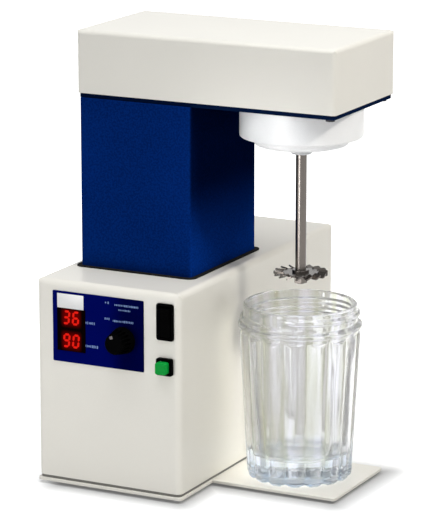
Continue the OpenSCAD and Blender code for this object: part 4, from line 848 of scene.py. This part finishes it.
plate_low, plate_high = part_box("base_plate")
housing_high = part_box("base_housing")[1]
under_body = clearance((plate_low.x + shade_inset, plate_low.y), (housing_high.x, jar_high.y))
under_jar = clearance((housing_high.x, jar_low.y), (plate_high.x, jar_high.y))
off_plate = x.math("MINIMUM", under_body, under_jar)
outside_painted_shadow = off_plate.fade(shade_from, shade_to)
far_floor = off_plate.fade(white_from, white_to)
# Painted shadow: the table's colour and its glow are darker close to the plate.
outside_painted_shadow.tint((0.36, 0.36, 0.36), (0.8, 0.8, 0.8)).into(shader, "Base Color")
white = seen(table_white.node_tree) * (0.05 + 0.55 * outside_painted_shadow + 0.4 * far_floor)
white.tint((0.0, 0.0, 0.0), (1.0, 1.0, 1.0)).into(shader, "Emission Color")
floor.data.materials.append(table_white)

world = bpy.data.worlds.new("studio")
bpy.context.scene.world = world
world.use_nodes = True
backdrop = world.node_tree.nodes["Background"]
(0.12 + 0.88 * seen(world.node_tree)).into(backdrop, "Strength")
backdrop.inputs["Color"].default_value = (1.0, 1.0, 1.0, 1.0)


def softbox(name, size, power, spread, colour, at, towards):
    """A square lamp at a place, turned to a point, with a beam of so many degrees."""
    light = bpy.data.lights.new(name, "AREA")
    light.size = size
    light.energy = power
    light.spread = math.radians(spread)
    light.color = colour
    lamp = bpy.data.objects.new(name, light)
    bpy.context.scene.collection.objects.link(lamp)
    lamp.location = at
    lamp.rotation_euler = (Vector(towards) - Vector(at)).to_track_quat("-Z", "Y").to_euler()


plain_light = (1.0, 1.0, 1.0)
warm_light = (1.0, 0.97, 0.91)
cool_light = (0.93, 0.96, 1.0)
middle = (cad_low + cad_high) / 2
softbox("front", size=0.2, power=0.31, spread=90.0, colour=plain_light, at=(-0.25, -0.75, 0.06),
        towards=(-0.05, -0.137, 0.08))
softbox("fill", size=0.8, power=2.4, spread=180.0, colour=plain_light, at=(-0.3, -1.9, 0.3),
        towards=middle)
softbox("low spot", size=0.1, power=0.015, spread=19.0, colour=plain_light, at=(-0.05, -0.75, 0.1),
        towards=(0.07, -0.08, 0.268))
softbox("right", size=0.35, power=20.0, spread=180.0, colour=warm_light, at=(1.5, -0.22, 1.6),
        towards=middle)
softbox("top", size=1.4, power=23.0, spread=180.0, colour=cool_light, at=(0.1, -0.5, 1.75),
        towards=middle)
softbox("back", size=0.25, power=4.5, spread=180.0, colour=plain_light, at=(-1.5, 0.9, 0.14),
        towards=middle)

camera_at = Vector((1.0892, -2.18775, 0.7593))
camera_towards = Vector((0.0139, -0.07725, 0.1907))
lens = bpy.data.cameras.new("camera")
lens.sensor_width = 36.0
lens.lens = 206.46
lens.clip_end = 20.0
camera = bpy.data.objects.new("camera", lens)
bpy.context.scene.collection.objects.link(camera)
camera.location = camera_at
camera.rotation_euler = (camera_towards - camera_at).to_track_quat("-Z", "Y").to_euler()
bpy.context.scene.camera = camera
bpy.context.scene.view_settings.view_transform = "Standard"

bpy.context.view_layer.update()
